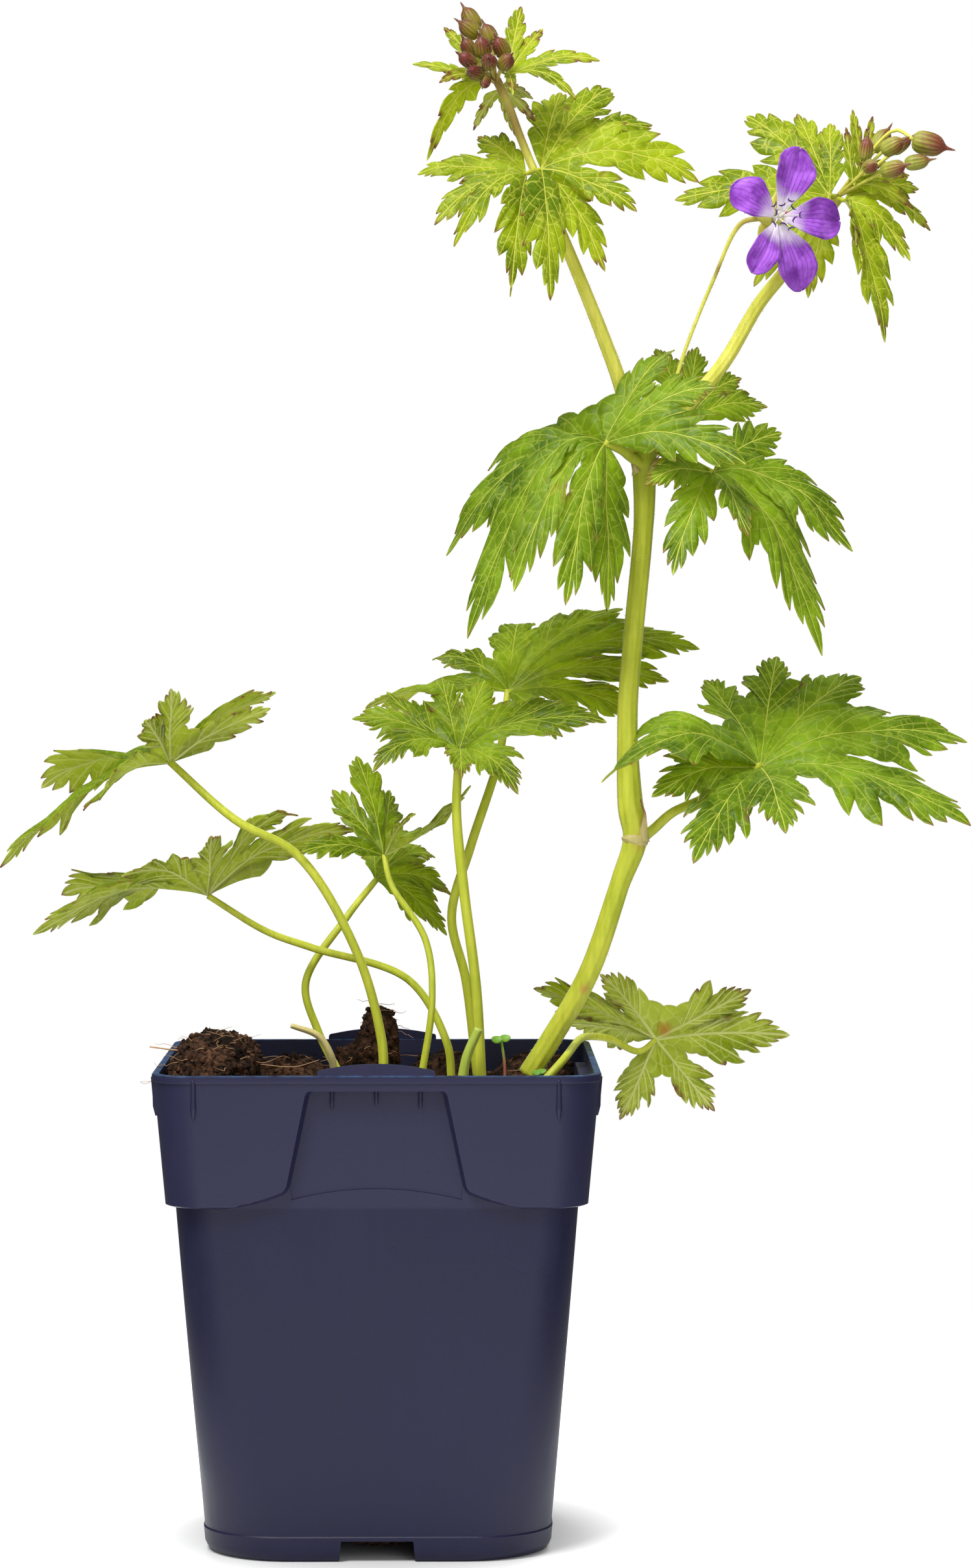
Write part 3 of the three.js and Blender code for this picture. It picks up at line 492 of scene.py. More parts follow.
fresh_stalk = plant_finish("fresh_stalk", (138, 160, 44), (182, 196, 84))
pale_hair = plant_finish("pale_hair", (214, 210, 180), (236, 232, 210), through=0.4)
cream = plant_finish("cream_filament", (226, 220, 206), (240, 236, 230), through=0.2)
anther_purple = plant_finish("anther_purple", (48, 30, 78), (84, 60, 120))
pistil_red = plant_finish("pistil_red", (156, 40, 60), (190, 76, 90))
seedling_skin = plant_finish("seedling_skin", (74, 124, 18), (116, 160, 44), (150, 60, 60))
root_fibre = plant_finish("root_fibre", (120, 82, 50), (196, 156, 110))
navy_plastic = pot_finish()
compost = earth_finish()
violet_petal = petal_finish()


# ---------- stalks, stems and other round shapes ----------


def tube_shape(points, radii, sides=12, steps=60, ridges=0, depth=0.0):
    """Points and faces of a closed round bar; radii are spread evenly along it."""
    line = smooth_line(points, steps + 1)
    count = len(line)
    tangents = unit(np.gradient(line, axis=0))
    across = np.array((1.0, 0.0, 0.0)) if abs(tangents[0][0]) < 0.8 else np.array((0.0, 1.0, 0.0))
    thick = np.interp(np.linspace(0, 1, count), np.linspace(0, 1, len(radii)), radii)
    turns = np.arange(sides) / sides * 2 * math.pi
    ribbing = 1 + depth * np.cos(ridges * turns)
    rings = []
    for centre, tangent, radius in zip(line, tangents, thick):
        across = unit(across - tangent * across.dot(tangent))
        other = np.cross(tangent, across)
        reach = (radius * ribbing)[:, None]
        rings.append(centre + reach * circle_of(turns, across, other))
    return np.vstack([*rings, line[:1], line[-1:]]), bar_faces(count, sides)


def joined(shapes):
    points, faces, start = [], [], 0
    for some_points, some_faces in shapes:
        points.append(some_points)
        faces.extend(tuple(i + start for i in face) for face in some_faces)
        start += len(some_points)
    return np.vstack(points), faces


def blush_at(points, spots):
    """How strongly each point is blushed: spots are (place, reach, strength)."""
    level = np.zeros(len(points))
    for where, reach, strength in spots:
        away = np.linalg.norm(points - np.array(where, float), axis=1)
        level = np.maximum(level, strength * smooth(1 - away / reach))
    return level


def make_round(name, shapes, material, slot, nodes=(), spots=()):
    points, faces = joined(shapes)
    piece = new_mesh(name, points, faces, [material], {"blush": blush_at(points, spots)})
    finish_piece(piece, slot, *nodes)


# ---------- leaves ----------

SINUS = 0.34
PALM_LEAN = 0.76
PALM_ROWS = 7
COLUMNS = 8
OUTER_HALF_ANGLE = math.radians(26)
LOBE_FOLD = math.radians(12)
MIDRIB_STOPS = np.linspace(0, 1, 101)
OUTER_NOTCH = 0.3
NARROWEST_HALF_ANGLE = 0.16
WIDEST_HALF_ANGLE = 0.62
FAR_FROM_VEIN = 9.0
EDGE_STEPS = (0.25, 0.5, 0.75, 1)
TIP_ZONE = 0.85
NEIGHBOUR_SHARE = 0.97
TOOTH_SPREAD = 0.012
WIDTH_SPREAD = (0.88, 1.1)
NOTCH_SPREAD = (0.92, 1.12)
SEAM_FADE = 0.25
EDGE_SLANT = 0.75
VEIN_GROOVE = 1.3
MIDRIB_GROOVE = 1.1
FLAT_MARGIN = 1.5
RUFFLE_SHARE = 0.5
RUFFLE_WAVES = 21
WAVE_SIZE = 11
# Along one edge of a lobe, from the notch between two lobes to the tip: where the row leaves the
# midrib, how far out it ends, and its half-width there, all as shares of the lobe's length. A
# row marked True follows a side vein to the point of a tooth.
CLEFT_EDGE = [
    (0.285, 0.42, 0.165), (0.3, 0.5, 0.205), (0.33, 0.6, 0.275, True),
    (0.355, 0.6, 0.225), (0.38, 0.735, 0.285, True), (0.41, 0.69, 0.205),
    (0.43, 0.69, 0.17), (0.465, 0.64, 0.105), (0.495, 0.74, 0.138),
    (0.515, 0.825, 0.168, True), (0.585, 0.765, 0.098), (0.625, 0.895, 0.115, True),
    (0.705, 0.84, 0.06), (0.74, 0.935, 0.066, True), (0.82, 0.9, 0.035),
]
TOOTHED_EDGE = [
    (0.285, 0.44, 0.18), (0.305, 0.56, 0.245, True), (0.355, 0.52, 0.18),
    (0.385, 0.665, 0.26, True), (0.435, 0.615, 0.175), (0.46, 0.755, 0.228, True),
    (0.53, 0.7, 0.14), (0.555, 0.835, 0.168, True), (0.63, 0.775, 0.092),
    (0.66, 0.905, 0.102, True), (0.75, 0.86, 0.05), (0.785, 0.945, 0.052, True),
    (0.86, 0.92, 0.028),
]
LONG_TOOTHED_EDGE = [
    (0.285, 0.43, 0.13), (0.305, 0.59, 0.225, True), (0.39, 0.56, 0.125),
    (0.425, 0.755, 0.205, True), (0.535, 0.705, 0.1), (0.575, 0.88, 0.128, True),
    (0.69, 0.83, 0.055), (0.735, 0.955, 0.058, True), (0.845, 0.915, 0.026),
]
NARROW_EDGE = [
    (0.3, 0.5, 0.09), (0.33, 0.63, 0.13, True), (0.44, 0.6, 0.072),
    (0.52, 0.8, 0.094, True), (0.63, 0.78, 0.05), (0.72, 0.925, 0.05, True),
    (0.82, 0.905, 0.026),
]
SLIM_EDGE = [
    (0.3, 0.5, 0.12), (0.33, 0.66, 0.18, True), (0.44, 0.62, 0.105),
    (0.5, 0.83, 0.15, True), (0.6, 0.775, 0.08), (0.67, 0.93, 0.095, True),
    (0.78, 0.89, 0.04),
]


def lobe(x, y, z, bow=2.0, wide=1.0, notch=1.0, twist=0.0):
    """A lobe to the tip x, y, z; notch scales how far out the gap to the next lobe starts."""
    return dict(tip=(x, y, z), bow=bow, wide=wide, notch=notch, twist=twist)


class Lobe:
    """One lobe's midrib with a frame along it: across lies in the blade, normal is its top."""

    def __init__(self, middle, shape, side, facing):
        middle, tip = np.array(middle, float), np.array(shape["tip"], float)
        s = MIDRIB_STOPS[:, None]
        self.line = middle + (tip - middle) * s + np.array((0, 0, 4 * shape["bow"])) * s * (1 - s)
        self.length = np.linalg.norm(np.diff(self.line, axis=0), axis=1).sum()
        tangents = unit(np.gradient(self.line, axis=0))
        across = unit(side - tangents * (tangents @ side)[:, None])
        normal = np.cross(tangents, across) * facing
        turn = np.radians(shape["twist"]) * s
        self.across = across * np.cos(turn) + normal * np.sin(turn)
        self.normal = normal * np.cos(turn) - across * np.sin(turn)
        self.wide = shape["wide"]

    def at(self, field, s):
        return np.stack([np.interp(s, MIDRIB_STOPS, field[:, k]) for k in range(3)], -1)

    def place(self, s, w):
        """The point s along the midrib and w out to one side, both as shares of the length."""
        out = np.abs(w) * self.length
        fold = LOBE_FOLD * (1 - 0.6 * np.asarray(s))
        sag = 0.035 * out ** 2 * (0.3 + np.asarray(s))
        sideways = np.sign(w) * out * np.cos(fold)
        lift = out * np.sin(fold) - sag
        return (self.at(self.line, s) + self.at(self.across, s) * sideways[..., None]
                + self.at(self.normal, s) * lift[..., None])


def edge_rows(outline, sinus, slope, wide, rng):
    """Rows of one side of a lobe: the palm's, then four for each step along the toothed edge.

    Short of its tip zone a lobe stays on its own side of the line halfway to the next one.
    """
    keys = [(PALM_LEAN * sinus * k / PALM_ROWS, sinus * k / PALM_ROWS, slope * sinus * k / PALM_ROWS)
            for k in range(PALM_ROWS + 1)]
    veins = []
    for base, out, width, *follows_vein in outline:
        base = 1 - (1 - base) * (1 - PALM_LEAN * sinus) / (1 - PALM_LEAN * SINUS)
        out = 1 - (1 - out) * (1 - sinus) / (1 - SINUS) + rng.uniform(-TOOTH_SPREAD, TOOTH_SPREAD)
        width = width * wide * rng.uniform(*WIDTH_SPREAD)
        if out < TIP_ZONE:
            width = min(width, out * slope * NEIGHBOUR_SHARE)
        keys.append((base, out, width))
        if follows_vein:
            veins.append((base, out, width))
    keys.append((1.0, 1.0, 0.0))
    rows = list(keys[:PALM_ROWS + 1])
    for start, end in zip(keys[PALM_ROWS:], keys[PALM_ROWS + 1:]):
        step = np.array(end) - np.array(start)
        outward = np.array((0.0, -step[2], step[1])) if step[1] > 0 else np.zeros(3)
        for t in EDGE_STEPS:
            row = np.array(start) + step * t + outward * 0.5 * t * (1 - t)
            rows.append(row if t < 1 else np.array(end))
    return np.array(rows), veins


def away_from_segment(s, w, start, end):
    """How far the points s, w of a flat lobe lie from a side vein that runs from start to end."""
    start, end = np.array(start, float), np.array(end, float)
    run = end - start
    t = np.clip(((s - start[0]) * run[0] + (w - start[1]) * run[1]) / run.dot(run), 0, 1)
    return np.hypot(s - start[0] - run[0] * t, w - start[1] - run[1] * t)


def leaf_sheet(name, middle, lobes, top, edges, cleft, slim, red, quilt, ripple, scorched):
    """The blade as an open sheet, with how far each point lies from its veins and edges."""
    rng = random.Random(name)
    tips = [np.array(shape["tip"], float) for shape in lobes]
    reach = [tip - np.array(middle, float) for tip in tips]
    winding = sum((np.cross(a, b) for a, b in zip(reach, reach[1:])), np.zeros(3))
    facing = 1.0 if winding.dot(np.array(top, float)) > 0 else -1.0
    parts = []
    for i, shape in enumerate(lobes):
        before, after = tips[max(i - 1, 0)], tips[min(i + 1, len(tips) - 1)]
        parts.append(Lobe(middle, shape, after - before, facing))
    angles = [math.acos(np.clip(unit(a).dot(unit(b)), -1, 1)) for a, b in zip(reach, reach[1:])]
    half_angles = [min(max(a / 2, NARROWEST_HALF_ANGLE), WIDEST_HALF_ANGLE) for a in angles]
    slopes = [math.tan(a) for a in (OUTER_HALF_ANGLE, *half_angles, OUTER_HALF_ANGLE)]
    notches = [OUTER_NOTCH * parts[0].length]
    notches += [SINUS * cleft * shape["notch"] * min(a.length, b.length) * rng.uniform(*NOTCH_SPREAD)
                for a, b, shape in zip(parts, parts[1:], lobes)]
    notches += [OUTER_NOTCH * parts[-1].length]
    stations = np.arange(PALM_ROWS + 1) / PALM_ROWS
    seams = [None]
    for a, b, notch, slope in zip(parts, parts[1:], notches[1:], slopes[1:]):
        sa, sb = notch / a.length * stations, notch / b.length * stations
        seams.append(0.5 * (a.place(sa, sa * slope) + b.place(sb, -sb * slope)))
    seams.append(None)
    points, faces, start = [], [], 0
    values = {key: [] for key in ("midrib", "side_vein", "margin", "tooth")}
    for i, part in enumerate(parts):
        for side in (-1, 1):
            gap = i if side < 0 else i + 1
            sinus, seam = notches[gap] / part.length, seams[gap]
            rows, veins = edge_rows(rng.choice(edges), sinus, slopes[gap], part.wide * slim, rng)
            u = np.linspace(0, 1, COLUMNS + 1)[None, :]
            base, out, width = (rows[:, k][:, None] for k in range(3))
            s = base + (out - base) * u
            w = width * u
            spot = part.place(s, side * w)
            if seam is not None:
                pull = seam - spot[:PALM_ROWS + 1, -1]
                fade = 1 - smooth((out[PALM_ROWS:, 0] - sinus) / SEAM_FADE)
                carried = np.vstack([pull, pull[-1] * fade[1:, None]])
                spot = spot + carried[:, None, :] * u[..., None]
            from_vein = np.full(s.shape, FAR_FROM_VEIN)
            for vein in veins:
                away = away_from_segment(s, w, (vein[0], 0), (vein[1], vein[2]))
                from_vein = np.minimum(from_vein, away * part.length)
            from_midrib = w * part.length
            from_margin = (1 - u) * np.hypot(out - base, width) * part.length * EDGE_SLANT
            from_margin[:PALM_ROWS + 1] = FAR_FROM_VEIN
            ends = [(vein[1], vein[2]) for vein in veins] + [(1.0, 0.0)]
            from_tooth = np.min([np.hypot(s - a, w - b) for a, b in ends], axis=0) * part.length
            raised = 1 - np.exp(-(from_vein / VEIN_GROOVE) ** 2)
            raised = raised * (1 - np.exp(-(from_midrib / MIDRIB_GROOVE) ** 2))
            fade = smooth(from_margin / FLAT_MARGIN)
            fade[:PALM_ROWS + 1] = smooth((1 - u) * 3)
            ruffle = RUFFLE_SHARE * ripple * u ** 2 * np.sin(out * RUFFLE_WAVES + i * 2.1 + side)
            ruffle = ruffle * smooth(out * 3 - 1.2) * smooth(width * part.length / 3)
            spot = spot + part.at(part.normal, s) * (quilt * raised * fade + ruffle)[..., None]
            if seam is not None:
                spot[:PALM_ROWS + 1, -1] = seam
            points.append(spot.reshape(-1, 3))
            for key, field in (("midrib", from_midrib), ("side_vein", from_vein),
                               ("margin", from_margin), ("tooth", from_tooth)):
                values[key].append(field.reshape(-1))
            faces.extend(grid_faces(len(rows), COLUMNS + 1, start, flip=(side < 0) != (facing > 0)))
            start += s.size
    points = np.vstack(points)
    wave = uneven(points, WAVE_SIZE) * ripple
    values = {key: np.concatenate(parts) for key, parts in values.items()}
    values["red"] = np.full(len(points), red)
    values["scorch"] = blush_at(points, scorched)
    return points + unit(winding * facing) * wave[:, None], faces, values


def make_leaf(name, at, lobes, stalk=None, radius=0, top=(0, 0, 1), skins=(basal_top, basal_under),
              slot="leaf", edges=(TOOTHED_EDGE, CLEFT_EDGE), cleft=0.9, slim=0.85, red=0.5, quilt=0.5,
              ripple=1.2, thickness=LEAF_THICKNESS, scorched=(), nodes=None):
    sheet = leaf_sheet(name, at, lobes, top, edges, cleft, slim, red, quilt, ripple, scorched)
    points, faces, values = sheet
    blade = new_mesh(name, points, faces, skins, values)
    weld(blade)
    apply_modifier(blade, "SOLIDIFY", thickness=thickness * MM, offset=0, material_offset=1)
    bpy.ops.object.shade_smooth_by_angle(angle=SMOOTH_BELOW)
    finish_piece(blade, slot, *([name] if nodes is None else nodes))
    if stalk:
        bar = tube_shape([*stalk, at], [radius * 1.1, radius, radius, radius * 0.8],
                         ridges=5, depth=0.05, sides=14, steps=70)
        make_round(name + "_stalk", [bar], stem_skin, "stem", [name])


BASAL_LEAVES = {
    "basal_leaf_upper_left": dict(
        edges=(LONG_TOOTHED_EDGE, TOOTHED_EDGE), red=1.0,
        at=(-43.5, -4, 160.5), radius=0.92,
        stalk=[(1, -8, 94), (0.5, -8, 103), (-4.5, -9, 121), (-16.5, -10, 141), (-29.5, -10, 148.5)],
        lobes=[
            lobe(-22, -10, 171, 1), lobe(-42, -20, 175.5, 0), lobe(-47, -25, 169, 1, 0.8),
            lobe(-60, -21, 151, 3, 1.1), lobe(-77.5, -12, 138.5, 5, 1.25, twist=-30),
            lobe(-71, 8, 154.5, 4, 1.3, twist=-75), lobe(-52, 24, 160, 3), lobe(-31, 19, 165, 3),
            lobe(-22, 8, 175, 2),
        ],
    ),
    "basal_leaf_lower_left": dict(
        at=(-35.5, -3, 132.5), radius=0.78, red=0.8,
        stalk=[(15, -4, 94), (14, -4, 102), (6, -2, 115), (-14, 0, 121.5), (-23.5, -1, 125)],
        lobes=[
            lobe(-5, 8, 146, 4, 0.6), lobe(-17, -1, 149.5, 5, 0.62), lobe(-34, -19, 145.5, 1),
            lobe(-52, -24, 138, 3), lobe(-71, -10, 124.5, 5, 1.2, twist=-30),
            lobe(-67, 10, 132, 3, 1.2, twist=-70), lobe(-44, 24, 138, 2), lobe(-20, 19, 142, 3),
        ],
    ),
    "basal_leaf_small_front": dict(
        edges=(LONG_TOOTHED_EDGE, SLIM_EDGE), cleft=0.8,
        at=(1, -4, 141), radius=0.7,
        stalk=[(8.5, -14, 94), (11, -13, 112), (9.5, -9, 124), (2.5, -6, 135)],
        lobes=[
            lobe(-16, -12, 141.5, 2), lobe(-10, 6, 154, 1), lobe(-5, 10, 161, 2),
            lobe(2, 13, 154, 1), lobe(10.5, 10, 146, 1), lobe(19, -2, 155.5, -2), lobe(7, -15, 149, 2),
        ],
    ),
    "basal_leaf_small_back": dict(
        at=(-1, 12, 135), radius=0.8,
        stalk=[(-8, 3, 94), (-13, 4, 104), (-15.5, 4, 114), (-7, 7, 127.5)],
        lobes=[
            lobe(-1.5, 23, 140.5, 2), lobe(7, 27, 142, 2), lobe(11.5, 20, 139, 3),
            lobe(15, 13, 131.5, 3), lobe(14, 5, 123.5, 3),
        ],
    ),
    "basal_leaf_young": dict(
        at=(16.5, -8, 162), radius=1.05, quilt=0.7,
        stalk=[(21, -12, 94), (20, -12, 114), (17.5, -12, 134), (16, -10.5, 150)],
        lobes=[
            lobe(-1, -18, 158, 5), lobe(-5.5, -4, 169, 3), lobe(1.5, 4, 174.5, 0),
            lobe(13, 8, 177.5, 0), lobe(22, 6, 177, 1), lobe(38, 2, 172.5, 2),
            lobe(47, -8, 168.5, 4), lobe(28.5, -24, 154, 4), lobe(17, -22, 157, 3),
        ],
    ),
    "basal_leaf_tall_back": dict(
        at=(27, 16, 175), radius=0.95,
        stalk=[(20.5, 4, 94), (18, 3, 114.5), (15, 2, 128), (19, 5, 142.5), (25, 11, 161)],
        lobes=[
            lobe(-3, 8, 171, 3, 1.2, twist=-40), lobe(11, 26, 181, 4), lobe(30, 40, 189, 4),
            lobe(52, 34, 192.5, 4), lobe(68, 25, 184, 6), lobe(61, 15, 177, 4), lobe(54, 8, 169, 3),
            lobe(37, 5, 164.5, 2),
        ],
    ),
    "basal_leaf_low_right": dict(
        at=(59, 28, 100), radius=0.8, top=(0, 1, 0.2), red=0.9,
        scorched=[((60.5, 27.5, 102.5), 2.4, 0.9)],
        stalk=[(34.2, -6, 94.3), (37.8, -4, 98), (42, 10, 101.5), (44.5, 18, 101.5), (49, 24, 100.5),
               (55.5, 28, 97.5)],
        lobes=[
            lobe(40, 51, 101.5, 1), lobe(33, 43, 110, 1), lobe(47, 36, 113.5, 1),
            lobe(79, 24, 111, 0), lobe(87, 20, 101.5, 1), lobe(71.5, 24, 85, 0), lobe(51.5, 31, 82.5, 0),
        ],
    ),
}

STEM_LEAVES = {
    "stem_leaf_big_right": dict(
        edges=(CLEFT_EDGE,),
        at=(79.5, 2, 159.5), radius=0.95,
        stalk=[(54.2, -5, 144.2), (57, -5.4, 146.6), (60.6, -6, 149.8), (68, -2, 153)],
        lobes=[
            lobe(56, -14, 153.5, 2), lobe(64, -24, 140, 3), lobe(82.5, -26, 145.5, 3),
            lobe(122, -10, 147, 4), lobe(124, 14, 164, 5), lobe(103, 29, 178, 3, notch=1.35),
            lobe(85, 32, 181.5, 2, 0.72, notch=2.0), lobe(69, 25, 177, 2, 0.75),
            lobe(45.5, -19, 156, 8, 0.8),
        ],
    ),
    "stem_leaf_upper_left": dict(
        edges=(LONG_TOOTHED_EDGE, CLEFT_EDGE), cleft=0.8,
        at=(46.5, -9, 226), radius=1, stalk=[(54.4, -1.6, 222), (52, -4, 223.4), (50, -6.5, 224.8)],
        scorched=[((37.3, -20, 215.2), 2.6, 1.0), ((37.5, -15, 215.4), 2.6, 1.0),
                  ((37.7, -9, 215.6), 2.6, 1.0), ((74, -16, 231), 1.4, 0.8)],
        lobes=[
            lobe(47, -15, 191, 5), lobe(38, -23, 192.5, 6), lobe(27.5, -20, 195.5, 8),
            lobe(18.5, -12, 185.5, 14), lobe(14, -1, 203, 8), lobe(26, 8, 222, 4),
            lobe(61, -5, 245.5, 3), lobe(69.5, -12, 237, 3), lobe(75, -19, 221, 4),
        ],
    ),
    "stem_leaf_upper_right": dict(
        edges=(LONG_TOOTHED_EDGE, CLEFT_EDGE), cleft=0.85,
        at=(69, -4, 220), radius=1, stalk=[(56, -0.4, 221.6), (58.6, -1, 222.3), (63, -2, 222.5)],
        lobes=[
            lobe(54.5, -13, 217, 2), lobe(60, -18, 198.5, 3), lobe(75.5, -19, 206.5, 3),
            lobe(91.5, -10, 182.5, 9), lobe(98.5, 0, 204, 6), lobe(92, 9, 216, 3), lobe(84.5, 13, 229, 2),
        ],
    ),
    "stem_leaf_upper_back": dict(
        at=(64, 8, 231), radius=0.7, stalk=[(55.6, 1.2, 222.4), (57, 3.6, 223.8), (60, 6.4, 227.6)],
        lobes=[lobe(58, 14, 247, 2), lobe(67, 17, 247.5, 1), lobe(76.5, 18, 241, 2), lobe(82, 17, 235, 2)],
    ),
}

BRANCH_LEAVES = {
    "branch_leaf_left": dict(
        at=(30.4, -9.4, 281.2), stalk=[(31.9, -7.4, 281.8), (31.2, -8.6, 281.5)],
        lobes=[
            lobe(20.5, 4, 290, 1), lobe(8, -4, 281, 2), lobe(11.5, -12, 270, 4),
            lobe(15.5, -18, 265.5, 5, twist=25), lobe(27, -25, 256.5, 4), lobe(27, -14, 255.5, 4),
        ],
    ),
    "branch_leaf_right": dict(
        at=(33.4, -9.3, 282), stalk=[(32.2, -7.4, 282), (32.8, -8.6, 282)],
        lobes=[
            lobe(38, 12, 300.5, 2), lobe(48.5, 13, 301.5, 3), lobe(57, 7, 293, 3),
            lobe(66, -8, 279.5, 5, twist=-60), lobe(53, -14, 273, 2), lobe(46.5, -12, 261, 3),
            lobe(35, -25, 254, 4),
        ],
    ),
    "right_branch_leaf_left": dict(
        at=(93.2, -3, 277.4), stalk=[(94.6, -0.6, 277.5), (93.9, -2, 277.4)],
        lobes=[
            lobe(88.5, -8, 255.5, 2), lobe(77.5, -4, 258.5, 2), lobe(62, 10, 277.5, 2),
            lobe(77.4, 17, 296, 2), lobe(88.2, 18, 296.5, 1, 0.75), lobe(94.8, 13, 294, 1, 0.75),
        ],
    ),
    "right_branch_leaf_right": dict(
        at=(96.4, -2.6, 276.4), stalk=[(95.2, -0.4, 277), (95.8, -1.7, 276.7)],
        lobes=[
            lobe(99, -13, 263, 2), lobe(104.5, -10, 247, 5), lobe(109.5, -4, 263.5, 3),
            lobe(115, 3, 271, 4), lobe(113, 10, 280, 2),
        ],
    ),
}

BRACTS = {
    "left_head_bract_left": dict(
        at=(22.2, -9.6, 299.4),
        lobes=[lobe(13.5, 4, 313, 1, 0.8), lobe(7, -6, 304, 1), lobe(12.5, -15, 299, 2),
               lobe(10, -12, 283.5, 5)],
    ),
    "left_head_bract_right": dict(
        at=(26.5, -9, 301),
        lobes=[lobe(29.5, 2, 317, 1), lobe(34, 0, 312, 1), lobe(45.5, -8, 304.5, 2),
               lobe(40.5, -13, 296, 3), lobe(27.5, -18, 296, 2)],
    ),
    "left_head_bract_back": dict(
        at=(25, -6.1, 298.8),
        lobes=[lobe(19.5, -1, 291, 1), lobe(28.5, 2, 290, 1), lobe(32.5, 1, 293, 1), lobe(32, 3, 298, 1)],
    ),
    "right_head_bract": dict(
        at=(100.5, 3, 282.5),
        lobes=[lobe(98.5, 4.5, 296, 0), lobe(103, 7, 295, 0), lobe(106.5, 8, 285, 1)],
    ),
    "right_head_front_bract": dict(
        at=(98.2, -3.8, 279.4), top=(0, -1, 0.3), cleft=0.7, slim=0.85, nodes=(),
        lobes=[lobe(96.6, -3, 291.5, 0), lobe(101.4, -6, 287, 0), lobe(109.5, -6, 281.2, 1),
               lobe(110.5, -4, 274.5, 2)],
    ),
}
STEM_LEAF_LOOK = dict(skins=(grown_top, basal_under), slot="leaf_upper", red=0.7)
BRANCH_LEAF_LOOK = dict(skins=(fresh_top, fresh_under), slot="leaf_upper", red=0.9, cleft=0.8,
                        slim=0.82, edges=(LONG_TOOTHED_EDGE, SLIM_EDGE), radius=0.5)
BRACT_LOOK = dict(skins=(fresh_top, fresh_under), slot="leaf_upper", red=1.0, cleft=0.6, slim=0.9,
                  edges=(NARROW_EDGE,), quilt=0.15, ripple=0.4, thickness=BRACT_THICKNESS)


def make_all_leaves():
    for leaves, look in ((BASAL_LEAVES, {}), (STEM_LEAVES, STEM_LEAF_LOOK),
                         (BRANCH_LEAVES, BRANCH_LEAF_LOOK), (BRACTS, BRACT_LOOK)):
        for name, shape in leaves.items():
            make_leaf(name, **{**look, **shape})


make_all_leaves()


# ---------- stems, branches and the flower's stalk ----------

MAIN_STEM = [
    (31, 0, 95), (36, -1, 103), (43.5, -3, 116.5), (50, -5, 135.5), (53, -5, 144.5), (52, -4, 152),
    (51.5, -3, 170.5), (52.5, -2, 184), (55, 0, 211), (55, 0, 223.6),
]
UPPER_NODE = [(55, 0, 219.5), (55, 0, 223.2), (55, 0.1, 225.8), (55.1, 0.3, 227.4)]
LEFT_BRANCH = [
    (53.6, -0.3, 224.6), (50, -1, 238.5), (46.5, -2, 248), (39, -5, 266), (32, -7, 282),
    (29.5, -7, 288), (26, -8, 297), (24, -8, 301),
]
RIGHT_BRANCH = [
    (56.5, 0.8, 224.8), (62.5, 2, 232.5), (71.5, 3, 243), (79, 3, 255.5), (84.5, 2, 262.5),
    (95, 0, 277.5),
]
FLOWER_STALK = [
    (55.8, -2.2, 226), (58.6, -1.8, 233), (61.5, 0.5, 239.5), (64, 0, 247), (69, -3, 259.5),
    (74.5, -9, 271), (78.5, -11, 272),
]
# Foot, beak and radius of each closed bud, and a point that its ray arches over, if any.
LEFT_BUDS = [
    ((20.4, -3, 311.6), (16.9, -2, 317.3), 1.7), ((20.6, -7.2, 309.6), (15.6, -8, 313.1), 1.7),
    ((23.6, -9.6, 307.6), (21.2, -9.2, 312.8), 1.6), ((26.2, -11, 304.8), (23.6, -13.6, 309.4), 1.6),
    ((19.6, -9.6, 304.8), (16.9, -12, 309.4), 1.5), ((21.8, -12.8, 304.4), (20.6, -15, 309.4), 1.6),
    ((19.8, -13.6, 302.6), (15.8, -16.2, 305.2), 1.4), ((22.8, -14.4, 302.6), (22.4, -20, 303.6), 1.6),
    ((25.2, -13.6, 302.2), (27.6, -17.6, 304.8), 1.5), ((21, -13.4, 301), (18, -19.4, 300.8), 1.5),
    ((22.4, -14.4, 300), (21.2, -17.6, 297.4), 1),
]
LEFT_HEAD = (24.1, -8.1, 299.9)
RIGHT_BUDS = [
    ((110.2, -5.6, 288.6), (118.7, -7, 286.3), 2.3, (106.6, -2, 291)),
    ((108.4, -7.6, 283.4), (114.6, -9.4, 284.3), 1.5), ((104, -4, 286.4), (109.4, -6, 289.2), 1.7),
    ((103, 2.4, 287.2), (106.8, 3.4, 293.1), 1.7), ((100.2, -5.2, 284.4), (101, -6.4, 290.2), 1.4),
    ((100.6, -6.6, 282.6), (102, -11.4, 283.2), 1.4), ((103.6, -8, 281.8), (109.2, -12.4, 283), 1.6),
    ((106.6, -0.6, 286.6), (111.4, 0.2, 290.6), 1.2),
]
RIGHT_HEAD = (95.2, -0.2, 277.6)
HAIR_DROOP = (0, 0, -0.4)
HAIR_SPREAD = 0.4
HAIR_FACES = [(0, 2, 1), (0, 1, 3), (1, 2, 3), (2, 0, 3)]


def hairs_on(points, normals, count, rng, length, radius, lean=(0, 0, 0)):
    """Short tapering hairs that stand on picked points of a surface."""
    shapes = []
    for _ in range(count):
        i = rng.randrange(len(points))
        stray = np.array([rng.uniform(-HAIR_SPREAD, HAIR_SPREAD) for _ in range(3)])
        way = unit(normals[i] + stray + np.array(lean))
        side = unit(np.cross(way, (0.3, 0.5, 0.8)))
        other = np.cross(way, side)
        foot = points[i] - 0.05 * normals[i]
        reach = length * rng.uniform(0.6, 1.3)
        base = [foot + radius * (math.cos(t) * side + math.sin(t) * other) for t in (0, 2.1, 4.2)]
        shapes.append((np.array([*base, foot + way * reach]), HAIR_FACES))
    return shapes


